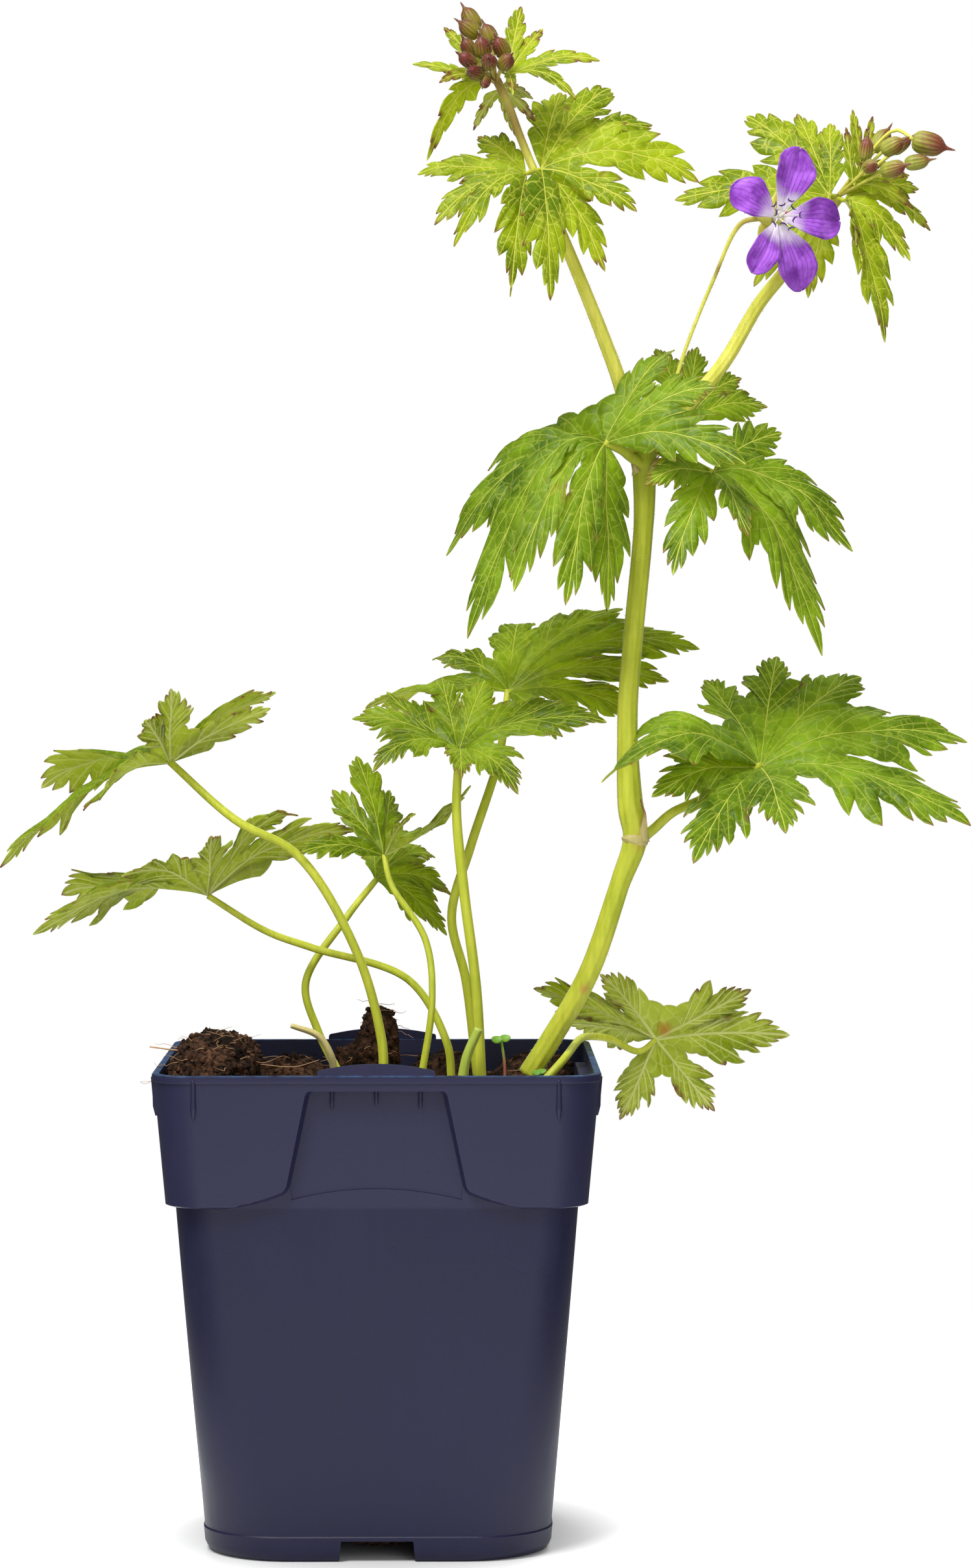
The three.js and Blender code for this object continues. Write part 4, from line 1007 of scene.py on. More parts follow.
def tube_normals(points, sides, steps):
    rings = points[:sides * (steps + 1)].reshape(steps + 1, sides, 3)
    return unit(rings - rings.mean(axis=1, keepdims=True)).reshape(-1, 3)


def hairy_stem(node, line, radii, sides, steps, ridges, depth, material, spots, hairs, extra):
    name = node + "_skin"
    bar = tube_shape(line, radii, sides=sides, steps=steps, ridges=ridges, depth=depth)
    make_round(name, [bar, *extra], material, "stem", [node], spots)
    outer = bar[0][:sides * (steps + 1)]
    tufts = hairs_on(outer, tube_normals(bar[0], sides, steps), hairs, random.Random(name),
                     length=0.7, radius=0.035, lean=HAIR_DROOP)
    make_round(name + "_hairs", tufts, pale_hair, "stem")


def rays_to(head, buds):
    rays = []
    for foot, beak, _, *via in buds:
        foot, beak = np.array(foot), np.array(beak)
        end = foot + 0.3 * unit(beak - foot)
        rays.append(tube_shape([head, *via, end], [0.44, 0.34, 0.4], sides=8, steps=14))
    return rays


def make_stems():
    node_swelling = tube_shape(UPPER_NODE, (2.2, 2.7, 2.5, 1.1), sides=28, steps=24)
    hairy_stem("main_stem", MAIN_STEM, (2.2, 2.1, 2.1, 2, 2.7, 2.1, 2, 2, 2, 2.5),
               sides=36, steps=170, ridges=9, depth=0.045, material=stem_skin, hairs=700,
               spots=[((42.6, -5.3, 113), 1.9, 1.0), ((54.5, -7, 144), 3.2, 0.5)],
               extra=[node_swelling])
    hairy_stem("left_branch", LEFT_BRANCH, (1.9, 1.5, 1.4, 1.3, 1.2, 0.85, 0.8, 0.9),
               sides=28, steps=120, ridges=7, depth=0.08, material=branch_skin, hairs=600,
               spots=[((28, -7.5, 292), 11, 0.7), (LEFT_HEAD, 9, 0.8)],
               extra=rays_to(LEFT_HEAD, LEFT_BUDS))
    hairy_stem("right_branch", RIGHT_BRANCH, (1.6, 1.4, 1.4, 1.3, 1.3, 1.4),
               sides=28, steps=110, ridges=7, depth=0.08, material=branch_skin, hairs=500,
               spots=[(RIGHT_HEAD, 7, 0.3)], extra=rays_to(RIGHT_HEAD, RIGHT_BUDS))


# ---------- buds ----------

BUD_PROFILE = [
    (0, 0.5), (0.03, 0.7), (0.08, 0.86), (0.16, 0.98), (0.28, 1.03), (0.42, 1.02), (0.54, 0.94),
    (0.63, 0.8), (0.69, 0.6), (0.73, 0.42), (0.77, 0.27), (0.81, 0.18), (0.87, 0.13), (0.94, 0.1),
    (1, 0.05),
]
BUD_SIDES = 60
SEPALS = 5
BUD_PLUMPNESS = 1.02
BUD_HAIRS = 110


def bud_shape(foot, beak, radius, turned, red_beak):
    """A closed bud: five overlapping ribbed sepals drawn out into a beak."""
    foot, beak = np.array(foot), np.array(beak)
    way = unit(beak - foot)
    side = unit(np.cross(way, (0.2, 0.4, 0.9)))
    other = np.cross(way, side)
    length = np.linalg.norm(beak - foot)
    share = np.arange(BUD_SIDES) / BUD_SIDES
    turns = share * 2 * math.pi + turned
    lap = (share * SEPALS) % 1
    rings, blush = [], []
    for along, wide in BUD_PROFILE:
        full = math.sin(math.pi * min(1, along + 0.12))
        shape = 1 + full * (0.12 * (lap - 0.5) + 0.04 * np.cos(lap * 6 * math.pi))
        reach = (wide * radius * BUD_PLUMPNESS * shape)[:, None]
        rings.append(foot + way * length * along + reach * circle_of(turns, side, other))
        ribs = 0.3 * np.cos(lap * 6 * math.pi) + 0.4 * np.sin(turns + 4 * turned)
        redness = np.clip(1.9 * (along - 0.22) + ribs, 0, 1)
        blush.append(redness if red_beak else 1 - np.clip(redness + 0.35, 0, 1))
    points = np.vstack([*rings, [foot, beak]])
    blush = np.concatenate([*blush, [blush[0].mean(), blush[-1].mean()]])
    return points, bar_faces(len(rings), BUD_SIDES), blush


def make_buds(prefix, buds, material, slot, red_beak):
    rng = random.Random(prefix)
    tufts = []
    for i, (foot, beak, radius, *_) in enumerate(buds):
        points, faces, blush = bud_shape(foot, beak, radius, rng.uniform(0, 6), red_beak)
        piece = new_mesh(f"{prefix}_{i + 1}_skin", points, faces, [material], {"blush": blush})
        finish_piece(piece, slot, f"{prefix}_{i + 1}")
        centre = (np.array(foot) + np.array(beak)) / 2
        outer = points[:-2]
        tufts += hairs_on(outer, unit(outer - centre), BUD_HAIRS, rng, length=0.5, radius=0.022)
    make_round(prefix + "_hairs", tufts, pale_hair, slot)


# ---------- flower ----------

FLOWER_MIDDLE = np.array((81.5, -15, 271.5))
FLOWER_FACING = unit(np.array((0.35, -0.93, 0.1)))
PETAL_TIPS = [(72, -19, 277.5), (86.5, -15, 286), (95, -11, 271.5), (87, -14, 257), (76.5, -19.5, 260)]
PETAL_OUTLINE = [
    (0.1, 0.05), (0.2, 0.1), (0.35, 0.19), (0.5, 0.26), (0.62, 0.29), (0.74, 0.285), (0.85, 0.243),
    (0.93, 0.175), (0.98, 0.095), (1.0, 0.02),
]
PETAL_WIDTHS = [1.18, 0.96, 1.06, 0.98, 0.82]
PETAL_ROWS = 36
PETAL_COLUMNS = 17
PETAL_BOW = 1.2
PETAL_RUFFLE = 0.55
PETAL_CREASE = 0.35
PETAL_NOTCH = 0.03
CALYX = np.array((79.9, -11.6, 271.6))
SEPAL_SHARE = 0.5
SEPAL_HOLLOW = 0.68
STAMENS = 10
STIGMAS = 5
STALK_SIDES = 12
STALK_STEPS = 110
RECEPTACLE = [(78, -11, 272), (81, -12.8, 271.6)]
COLUMN = [(81.3, -14, 271.6), (82.2, -17, 271.9), (83, -19.5, 272.2)]
STAMEN_FOOT = (81.5, -14.8, 271.6)
ANTHERS_MIDDLE = (83, -17.6, 272)


def make_petal(i, tip, broad):
    rng = random.Random(i + 3)
    reach = np.array(tip) - FLOWER_MIDDLE
    length = np.linalg.norm(reach)
    across = unit(np.cross(reach, FLOWER_FACING)) * length
    outline = smooth_line([(s, w, 0) for s, w in PETAL_OUTLINE], PETAL_ROWS)
    s, wide = outline[:, 0][:, None], broad * outline[:, 1][:, None]
    u = np.linspace(-1, 1, PETAL_COLUMNS)[None, :]
    phase = rng.uniform(0, 6)
    ruffle = PETAL_RUFFLE * np.abs(u) ** 2 * smooth(s * 2 - 0.5) * np.sin(s * 15 + 3 * u + phase)
    cup = PETAL_BOW * np.sin(s * math.pi) + 0.9 * (u * wide / 0.3) ** 2
    cup = cup - 0.8 * smooth(s * 2.2 - 1.2)
    crease = -PETAL_CREASE * np.exp(-(u / 0.12) ** 2) * smooth(s * 3 - 0.3)
    end = s - PETAL_NOTCH * np.exp(-(u / 0.3) ** 2) * smooth((s - 0.85) * 6.5)
    lift = (cup + ruffle + crease)[..., None]
    spot = FLOWER_MIDDLE + reach * end[..., None] + across * (wide * u)[..., None] + FLOWER_FACING * lift
    values = {key: np.broadcast_to(field, (PETAL_ROWS, PETAL_COLUMNS)).ravel()
              for key, field in (("out", s), ("across", u))}
    faces = grid_faces(PETAL_ROWS, PETAL_COLUMNS)
    petal = new_mesh(f"flower_petal_{i + 1}_skin", spot.reshape(-1, 3), faces, [violet_petal], values)
    apply_modifier(petal, "SOLIDIFY", thickness=PETAL_THICKNESS * MM, offset=0)
    finish_piece(petal, "petal", f"flower_petal_{i + 1}")


def sepal_shape(tip):
    """A narrow pointed green leaf behind the petals, hollow towards them."""
    reach = (np.array(tip) - FLOWER_MIDDLE) * SEPAL_SHARE
    end = CALYX + reach + np.array((0, 1.2, 0))
    way = unit(end - CALYX)
    line = [CALYX, CALYX + 0.5 * (end - CALYX) + np.array((0, 0.8, 0)), end]
    points, faces = tube_shape(line, (0.5, 1.1, 1.4, 1.2, 0.7, 0.3, 0.12), sides=14, steps=24)
    flat = FLOWER_FACING - way * FLOWER_FACING.dot(way)
    depth = (points - CALYX) @ flat
    along = (points - CALYX) @ way / np.linalg.norm(reach)
    return points - SEPAL_HOLLOW * depth[:, None] * flat * smooth(along * 4)[:, None], faces


def make_flower_stalk():
    stalk = tube_shape(FLOWER_STALK, (0.55, 0.42, 0.38, 0.38, 0.4, 0.6), STALK_SIDES, STALK_STEPS)
    cup = tube_shape(RECEPTACLE, (0.6, 1.3, 1.5, 1.2), sides=16, steps=12)
    sepals = [sepal_shape(tip) for tip in PETAL_TIPS]
    make_round("flower_stalk_skin", [stalk, cup, *sepals], branch_skin, "stem", ["flower_stalk"],
               [((70, -4.5, 262), 3, 0.6), ((76, -10, 271.8), 5, 0.5)])
    outer = stalk[0][:STALK_SIDES * (STALK_STEPS + 1)]
    normals = tube_normals(stalk[0], STALK_SIDES, STALK_STEPS)
    tufts = hairs_on(outer, normals, 420, random.Random("flower_stalk"), length=0.6, radius=0.025)
    make_round("flower_stalk_hairs", tufts, pale_hair, "stem")


def make_flower_centre():
    rng = random.Random("stamens")
    filaments, anthers = [], []
    x, y, z = ANTHERS_MIDDLE
    for i in range(STAMENS):
        turn = (i + rng.uniform(-0.2, 0.2)) / STAMENS * 2 * math.pi
        spread, forward = ((2.9, 0.3), (1.9, 1.0))[i % 2]
        end = np.array((x + spread * math.cos(turn), y - forward, z + spread * math.sin(turn)))
        bend = (np.array(STAMEN_FOOT) + end) / 2 + np.array((0.15, -0.7, 0.1))
        filaments.append(tube_shape([STAMEN_FOOT, bend, end], (0.2, 0.14, 0.08), sides=6, steps=12))
        along = np.array((-math.sin(turn), rng.uniform(-0.3, 0.3), math.cos(turn)))
        curl = np.array((0.35 * math.cos(turn), -0.25, 0.35 * math.sin(turn)))
        anther = [end - 0.7 * along + curl, end - 0.33 * along, end, end + 0.33 * along,
                  end + 0.7 * along + curl]
        anthers.append(tube_shape(anther, (0.07, 0.15, 0.18, 0.15, 0.07), sides=8, steps=14))
    filaments.append(tube_shape(COLUMN, (0.7, 0.5, 0.24, 0.18), sides=12, steps=20))
    make_round("filaments", filaments, cream, "flower_centre", ["flower_centre"])
    make_round("anthers", anthers, anther_purple, "flower_centre", ["flower_centre"])
    top = np.array(COLUMN[-1])
    pistil = []
    for k in range(STIGMAS):
        turn = k / STIGMAS * 2 * math.pi
        out = np.array((math.cos(turn), -0.6, math.sin(turn)))
        pistil.append(tube_shape([top - (0.1, -0.4, 0.1), top + 0.2 * out, top + 0.45 * out],
                                 (0.12, 0.1, 0.05), sides=6, steps=8))
    make_round("pistil", pistil, pistil_red, "flower_centre", ["flower_centre"])


# ---------- small things ----------

SCALE_ROWS = 24
SCALE_COLUMNS = 9
SHEATH = [(52.72, -4.95, 143.4), (52.95, -5, 144.3), (52.9, -4.95, 145.3)]
# Foot, tip, half-width and hook of each scale.
STIPULES = {
    "stipules_lower": [((54.6, -7.2, 143.9), (55.0, -8.4, 152.6), 1.15, -1.1)],
    "stipules_upper": [((53.6, -2.6, 220.2), (52.2, -3.6, 223.4), 0.8, -0.4),
                       ((56.4, -2.4, 220.2), (57.6, -3.2, 223.8), 0.8, 0.4)],
}


def scale_shape(foot, tip, wide, hook):
    """A thin papery scale, broad where it clasps the stem, with a narrow tip that hooks over."""
    foot, tip = np.array(foot, float), np.array(tip, float)
    outward = np.array((0.15, -0.98, 0.1))
    way = tip - foot
    across = unit(np.cross(way, outward))
    s = np.linspace(0, 1, SCALE_ROWS)[:, None]
    u = np.linspace(-1, 1, SCALE_COLUMNS)[None, :]
    half = wide * (1 - s) ** 2.2 + 0.32 * (1 - s) + 0.04
    lift = -1.1 * u ** 2 * (1 - s) ** 2 + 0.5 * s ** 2 + 0.1 * np.sin(9 * s + 4 * u)
    curl = hook * smooth((s - 0.6) * 2.5) * s
    spot = foot + way * s[..., None] + across * (half * u + curl)[..., None] + outward * lift[..., None]
    return spot.reshape(-1, 3), grid_faces(SCALE_ROWS, SCALE_COLUMNS)


def make_stipules():
    for name, scales in STIPULES.items():
        points, faces = joined([scale_shape(*scale) for scale in scales])
        spots = [(tip, 0.75 * math.dist(foot, tip), 1.0) for foot, tip, _, _ in scales]
        piece = new_mesh(name + "_skin", points, faces, [papery], {"blush": blush_at(points, spots)})
        apply_modifier(piece, "SOLIDIFY", thickness=STIPULE_THICKNESS * MM, offset=0)
        finish_piece(piece, "stipule", name)
    sheath = tube_shape(SHEATH, (2.45, 2.8, 2.76, 2.4), sides=32, steps=12, ridges=6, depth=0.02)
    make_round("stipule_sheath", [sheath], papery, "stipule")


def make_cut_stalks():
    left = tube_shape([(-9, -6, 94), (-10, -9, 100), (-12.5, -10, 104), (-18, -11, 106.2)],
                      (0.8, 0.75, 0.7, 0.65, 0.5), sides=14, steps=40, ridges=5, depth=0.1)
    make_round("cut_stalk_left_skin", [left], dry_stalk, "cut_stalk", ["cut_stalk_left"])
    middle = tube_shape([(17, -16, 94), (18, -16.5, 100), (20.5, -17, 106)],
                        (1.1, 0.95, 0.9), sides=14, steps=30, ridges=5, depth=0.08)
    make_round("cut_stalk_middle_skin", [middle], fresh_stalk, "cut_stalk", ["cut_stalk_middle"])


# Foot, height, lean, size and turn of each small seedling.
SEEDLINGS = (
    ((33.5, -13, 93.5), 3.2, -0.5, 1.0, 0.9), ((30.6, -17, 91.5), 2.0, 0.4, 0.8, 2.2),
    ((37.2, -12, 91.5), 3.6, 0.6, 0.9, 1.6),
)


def small_seedling(foot, height, lean, size, turn, tilt=0.7):
    """A thread of a stem with two seed leaves, turned about it and tilted towards the front."""
    foot = np.array(foot, float)
    top = foot + np.array((lean, 0, height))
    stem = tube_shape([foot, (foot + top) / 2 + np.array((0.3, 0, 0)), top], (0.3, 0.26), sides=8, steps=16)
    shapes = [stem]
    points, faces = round_ball(3)
    c, s = math.cos(tilt), math.sin(tilt)
    for side in (-1, 1):
        blade = points * np.array((size, 0.75 * size, 0.28 * size))
        blade[:, 2] += 0.35 * (blade[:, 0] / size) ** 2 * size
        blade = blade @ np.array(((1, 0, 0), (0, c, s), (0, -s, c)))
        centre = top + side * size * 0.85 * np.array((math.cos(turn), math.sin(turn), 0.1))
        shapes.append((blade + centre, faces))
    return shapes


def make_seedlings():
    main = small_seedling((26, -9, 94), height=9.2, lean=-0.8, size=1.15, turn=0.5, tilt=1.1)
    make_round("weed_seedling_skin", main, seedling_skin, "seedling", ["weed_seedling"],
               [((25.6, -9, 97), 5.5, 0.9)])
    rest = [shape for seedling in SEEDLINGS for shape in small_seedling(*seedling)]
    make_round("tiny_seedlings", rest, seedling_skin, "seedling")


make_stems()
make_buds("left_head_bud", LEFT_BUDS, bud_skin, "bud_red", False)
make_buds("right_head_bud", RIGHT_BUDS, green_bud_skin, "bud_green", True)
for petal_number, (petal_tip, petal_width) in enumerate(zip(PETAL_TIPS, PETAL_WIDTHS)):
    make_petal(petal_number, petal_tip, petal_width)
make_flower_stalk()
make_flower_centre()
make_stipules()
make_cut_stalks()
make_seedlings()


# ---------- pot ----------


def body_half(z):
    return BODY_BOTTOM_HALF + (BODY_TOP_HALF - BODY_BOTTOM_HALF) * z / COLLAR_BOTTOM


def collar_half(z):
    share = (z - COLLAR_BOTTOM) / (POT_HEIGHT - COLLAR_BOTTOM)
    return COLLAR_BOTTOM_HALF + (COLLAR_TOP_HALF - COLLAR_BOTTOM_HALF) * share


def pot_ring(half, z, inset=0.0, steps=CORNER_STEPS):
    """Level outline of the pot: a square with round corners that tighten towards the top."""
    low = max(0, 1 - z / COLLAR_BOTTOM)
    radius = CORNER_TOP + (CORNER_BOTTOM - CORNER_TOP) * low ** 2 - inset
    middle = half - inset - radius
    ring = []
    for quarter in range(4):
        for step in range(steps + 1):
            turn = (quarter + step / steps) * math.pi / 2
            x = middle * (1 if quarter in (0, 3) else -1) + radius * math.cos(turn)
            y = middle * (1 if quarter < 2 else -1) + radius * math.sin(turn)
            ring.append((x, y, z))
    return np.array(ring)


def loft(rings):
    """A closed shape through rings of points, with a flat face at each end."""
    count = len(rings[0])
    faces = [tuple(range(count))[::-1], *ring_faces(len(rings), count)]
    faces.append(tuple(range((len(rings) - 1) * count, len(rings) * count)))
    return np.vstack(rings), faces


def upright_plate(outline, front, back):
    """A plate standing on edge: outline is (x, z), and front and back give y at each z."""
    near = [(x, front(z), z) for x, z in outline]
    far = [(x, back(z), z) for x, z in outline]
    return loft([np.array(near), np.array(far)])


def mirrored(side):
    """A whole outline from its right half, up the right side and down the left."""
    return side + [(-x, z) for x, z in reversed(side)]


def tapered_panel():
    """The closed shape that cuts one recess: it widens outwards, so that its side walls slope."""
    widened = [(x + sideways, z + up) for (x, z), (sideways, up) in zip(RECESS_SIDE, RECESS_GROWTH)]
    rings = []
    for side, out in ((RECESS_SIDE, -3), (RECESS_SIDE, 0), (widened, RECESS_CUT)):
        rings.append(np.array([(x, -body_half(z) - out, z) for x, z in mirrored(side)]))
    return loft(rings[::-1])


def turned(shape, quarters):
    points, faces = shape
    turn = quarters * math.pi / 2
    c, s = round(math.cos(turn)), round(math.sin(turn))
    return points @ np.array(((c, s, 0), (-s, c, 0), (0, 0, 1))), faces


def boolean(piece, tool, operation):
    apply_modifier(piece, "BOOLEAN", operation=operation, solver="EXACT", object=tool)
    bpy.data.objects.remove(tool, do_unlink=True)


def cut_or_join(piece, shapes, operation):
    """Cuts closed shapes out of a piece, or joins them to it."""
    for shape in shapes:
        tool = new_mesh("tool", *shape, [])
        turn_outward(tool)
        boolean(piece, tool, operation)


RECESS_SIDE = [
    (31, 71.5), (31, 72), (28, 72.15), (25, 72.7), (22, 73.5), (19.6, 74.3), (18.4, 74.8),
    (17.7, 75.5), (17.25, 76.4), (16.9, 77.8), (RECESS_TOP_HALF + 0.35, 94.6),
    (RECESS_TOP_HALF, 95.2), (RECESS_TOP_HALF - 0.35, RECESS_TOP),
]
# How far each of those points moves outwards and upwards by the front of the cutting shape.
RECESS_GROWTH = [
    (0, 0), (0, 0.1), (0, 1.1), (0.1, 1.9), (0.3, 2.3), (0.7, 2.4), (1.1, 2.3),
    (1.6, 1.9), (2.1, 1.2), (2.4, 0.6), (2.4, 0.7), (2.4, 0.7), (2.4, 0.7),
]
RECESS_CUT = 6.5
ARCH_FOOT = 73.4
ARCH_RISE = 2.5
ARCH_HALF = 18
PRESSED_GAP = 0.06
PRESSED_DEPTH = 0.26
OUTSIDE_POT = -60.0
RIB_HEIGHTS = (98, 95, 93, 91, 90.2)
# Height and extra half-width of each ring: a rounded foot below, with a low bead round it.
BODY_LEVELS = [(0, -0.9), (0.35, -0.35), (1, -0.05), (2, 0.26), (5, 0.26), (5.25, 0)]
BODY_LEVELS += [(z, 0) for z in (9, 13, 18, 24, 30, 36, 44, 52, 60, 68, 76, 84, 92, 97)]
# Height and half-width of each ring, or None where it follows the collar's own slope.
COLLAR_LEVELS = (
    (COLLAR_BOTTOM, 41.6), (72.12, 41.9), (72.4, None), (85, None), (97.2, None), (97.3, 44.9),
    (97.5, RIM_HALF), (98.4, RIM_HALF), (98.68, 44.93), (POT_HEIGHT, COLLAR_TOP_HALF),
)
INNER_LEVELS = (FLOOR_UNDERSIDE + WALL, 9, 13, 18, 24, 30, 36, 44, 52, 60, 66, COLLAR_BOTTOM + WALL)
INNER_COLLAR_LEVELS = (COLLAR_BOTTOM + WALL + 0.01, 85, 100)


def pressed_outline():
    """The panel above the shallow arch, a hair smaller than the recess."""
    upper = [(x - PRESSED_GAP, z - PRESSED_GAP) for x, z in RECESS_SIDE[8:]]
    across = np.linspace(-17, 17, 19)
    arch = [(x, ARCH_FOOT + ARCH_RISE * (1 - (x / ARCH_HALF) ** 2)) for x in across]
    return mirrored(upper) + arch


def inner_recess_outline():
    """The same outline a wall's thickness further out, for the inside of the pot."""
    side = [(33, COLLAR_BOTTOM - 2 * WALL), (33, COLLAR_BOTTOM + WALL + 0.1)]
    side += [(x + 0.75 * WALL, z + WALL) for x, z in RECESS_SIDE[2:7]]
    side += [(x + WALL, z + 0.75 * WALL) for x, z in RECESS_SIDE[7:]]
    return mirrored(side)


def tab_outline():
    side = [(TAB_HALF, POT_HEIGHT - RIM_DEPTH), (TAB_HALF, POT_HEIGHT + 0.65),
            (TAB_HALF - 0.12, POT_HEIGHT + 0.95), (TAB_HALF - 0.45, POT_HEIGHT + 1.15)]
    swell = TAB_RISE_MIDDLE - TAB_RISE_END
    top = [(x, POT_HEIGHT + TAB_RISE_END + swell * (1 - (x / 10.8) ** 2))
           for x in np.linspace(10.4, -10.4, 17)]
    return side + top + [(-x, z) for x, z in reversed(side)]


def pot_ribs(quarter):
    """The moulded ribs of one side: two by the corners and three short ones in the recess."""
    ribs = []
    for x in (-RIB_OFFSET, RIB_OFFSET):
        line = [(x, -collar_half(z) - 0.04, z) for z in RIB_HEIGHTS]
        ribs.append(tube_shape(line, (0.5, 0.5, 0.5, 0.62, 0.3), sides=16, steps=24))
    for x in (-LINTEL_RIB_SPACING, 0, LINTEL_RIB_SPACING):
        length = 2.7 if x == 0 else 3.6
        line = [(x, -body_half(z) - 0.2, z) for z in (96, 95, 95 - 0.5 * length, 95.5 - length)]
        ribs.append(tube_shape(line, (0.42, 0.42, 0.42, 0.25), sides=12, steps=14))
    return [turned(rib, quarter) for rib in ribs]


def on_each_side(shape):
    return [turned(shape, quarter) for quarter in range(4)]


def hollow_inside():
    """The space inside the pot, a wall's thickness in from its faces and its pressed-back panels."""
    rings = [pot_ring(body_half(z), z, WALL) for z in INNER_LEVELS]
    rings += [pot_ring(collar_half(z), z, WALL) for z in INNER_COLLAR_LEVELS]
    inside = new_mesh("inside", *loft(rings), [])
    panel = upright_plate(inner_recess_outline(), lambda z: OUTSIDE_POT, lambda z: -body_half(z) + WALL)
    cut_or_join(inside, on_each_side(panel), "DIFFERENCE")
    return inside


def holes_below():
    """The space under the floor, the notch of each side and the four drainage holes."""
    foot_ring = pot_ring(body_half(0), 0, WALL)
    under = [foot_ring + np.array((0, 0, z)) for z in (-1, FLOOR_UNDERSIDE)]
    half = NOTCH_WIDTH / 2
    gate = [(-half - 0.5, -1), (half + 0.5, -1), (half, NOTCH_HEIGHT), (-half, NOTCH_HEIGHT)]
    notch = upright_plate(gate, lambda z: -RIM_HALF, lambda z: -RIM_HALF + NOTCH_REACH)
    drain = tube_shape([(DRAIN_OFFSET, DRAIN_OFFSET, 3), (DRAIN_OFFSET, DRAIN_OFFSET, 8)],
                       (DRAIN_RADIUS, DRAIN_RADIUS), sides=32, steps=1)
    return [loft(under), *on_each_side(notch), *on_each_side(drain)]


def make_pot():
    pot = new_mesh("pot_skin", *loft([pot_ring(body_half(z) + more, z) for z, more in BODY_LEVELS]),
                   [navy_plastic])
    collar_rings = [pot_ring(half or collar_half(z), z) for z, half in COLLAR_LEVELS]
    collar = new_mesh("collar", *loft(collar_rings), [navy_plastic])
    cut_or_join(collar, on_each_side(tapered_panel()), "DIFFERENCE")
    boolean(pot, collar, "UNION")
    pressed = upright_plate(pressed_outline(), lambda z: OUTSIDE_POT,
                            lambda z: PRESSED_DEPTH - body_half(z))
    cut_or_join(pot, on_each_side(pressed), "DIFFERENCE")
    boolean(pot, hollow_inside(), "DIFFERENCE")
    cut_or_join(pot, holes_below(), "DIFFERENCE")
    foot = tube_shape([(0, 0, 0), (0, 0, 0.3), (0, 0, FLOOR_UNDERSIDE + 0.4)],
                      (FOOT_RADIUS - 0.3, FOOT_RADIUS, FOOT_RADIUS), sides=64, steps=8)
    tab = upright_plate(tab_outline(), lambda z: -RIM_HALF + 0.06, lambda z: -RIM_HALF + WALL)
    cut_or_join(pot, [foot, turned(tab, 0), turned(tab, 2)], "UNION")
    weld(pot, 0.01)
    apply_modifier(pot, "BEVEL", width=0.22 * MM, segments=2, limit_method="ANGLE",
                   angle_limit=math.radians(38))
    apply_modifier(pot, "WEIGHTED_NORMAL", weight=80)
    side_ribs = [rib for quarter in range(4) for rib in pot_ribs(quarter)]
    ribs = new_mesh("pot_ribs", *joined(side_ribs), [navy_plastic])
    turn_outward(ribs)
    finish_piece(pot, "pot_plastic", "pot")
    finish_piece(ribs, "pot_plastic")


make_pot()


# ---------- compost, roots and rootstock ----------

SOIL_RINGS = 44
SOIL_INSET = 1.5
SOIL_TOP = 90.4
SOIL_EDGE_DROP = 1.2
CRUMBS_ABOVE = 91
PANEL_HALF = 18.6
# Middle and half-width of each low mound of compost.
MOUNDS = [
    ((-19, 17, 88), (10, 9, 9.4)), ((14, 24, 88), (9, 9, 9.8)), ((33, 20, 88), (10, 12, 9.6)),
    ((-22, 30, 88), (12, 7, 7)), ((-24, -14, 88), (9, 16, 7.5)),
]
# Middle and half-size of each lump.
ROOTSTOCK = ((12, -5, 89), (25, 14.5, 14))
ROOTSTOCK_TOP = 93.1
ROOT_MAT = ((-33.4, -15.5, 93), (9.2, 18.5, 11.8))
PEAT_CLUMP = ((-2.9, 22, 97.3), (6.6, 6, 10.4))
NOTCH_PAD = ((0, -24.5, 3.0), (6.6, 3.2, 1.5))
FIBRE_BENDS = 5
SOIL_FIBRES = 60
SOIL_CRUMBS = 1300
MAT_CRUMBS = 620
CLUMP_CRUMBS = 240
# Points and radius of each stray root on the mat.
STRAWS = (
    (((-46.5, -20, 102.6), (-42, -20, 102), (-34, -19, 101), (-27, -18, 101.6)), 0.16),
    (((-34, -25, 101.5), (-33, -25.5, 98), (-35, -26, 94.5), (-34.5, -26, 91)), 0.14),
    (((-24, -20, 99), (-17, -20, 98.5), (-12, -19, 99.8)), 0.09),
    (((-40, -24, 95), (-38, -26, 97), (-36, -27, 93)), 0.12),
)


def soil_outline(half, z):
    """The pot's inside outline at one height, drawn in where the four panels are pressed back."""
    ring = pot_ring(half, z, SOIL_INSET, steps=16)
    spread = []
    for a, b in zip(ring, np.roll(ring, -1, axis=0)):
        parts = max(1, int(np.linalg.norm(b - a) / 1.6))
        spread += [a + (b - a) * k / parts for k in range(parts)]
    spread = np.array(spread)
    wall = body_half(z) - SOIL_INSET
    for k in (0, 1):
        in_panel = (np.abs(spread[:, 1 - k]) < PANEL_HALF) & (np.abs(spread[:, k]) > wall)
        spread[in_panel, k] = np.sign(spread[in_panel, k]) * wall
    return spread


def soil_height(x, y):
    height = SOIL_TOP + 0.5 * noise.noise(Vector((x, y, 3)) / 9)
    height += 0.5 * noise.noise(Vector((x, y, 9)) / 3.5)
    for (cx, cy, cz), (rx, ry, rz) in MOUNDS:
        away = 1 - ((x - cx) / (rx * 1.15)) ** 2 - ((y - cy) / (ry * 1.15)) ** 2
        if away > 0:
            height = max(height, cz + rz * math.sqrt(away) + 0.5 * noise.noise(Vector((x, y, 5)) / 2.5))
    return height


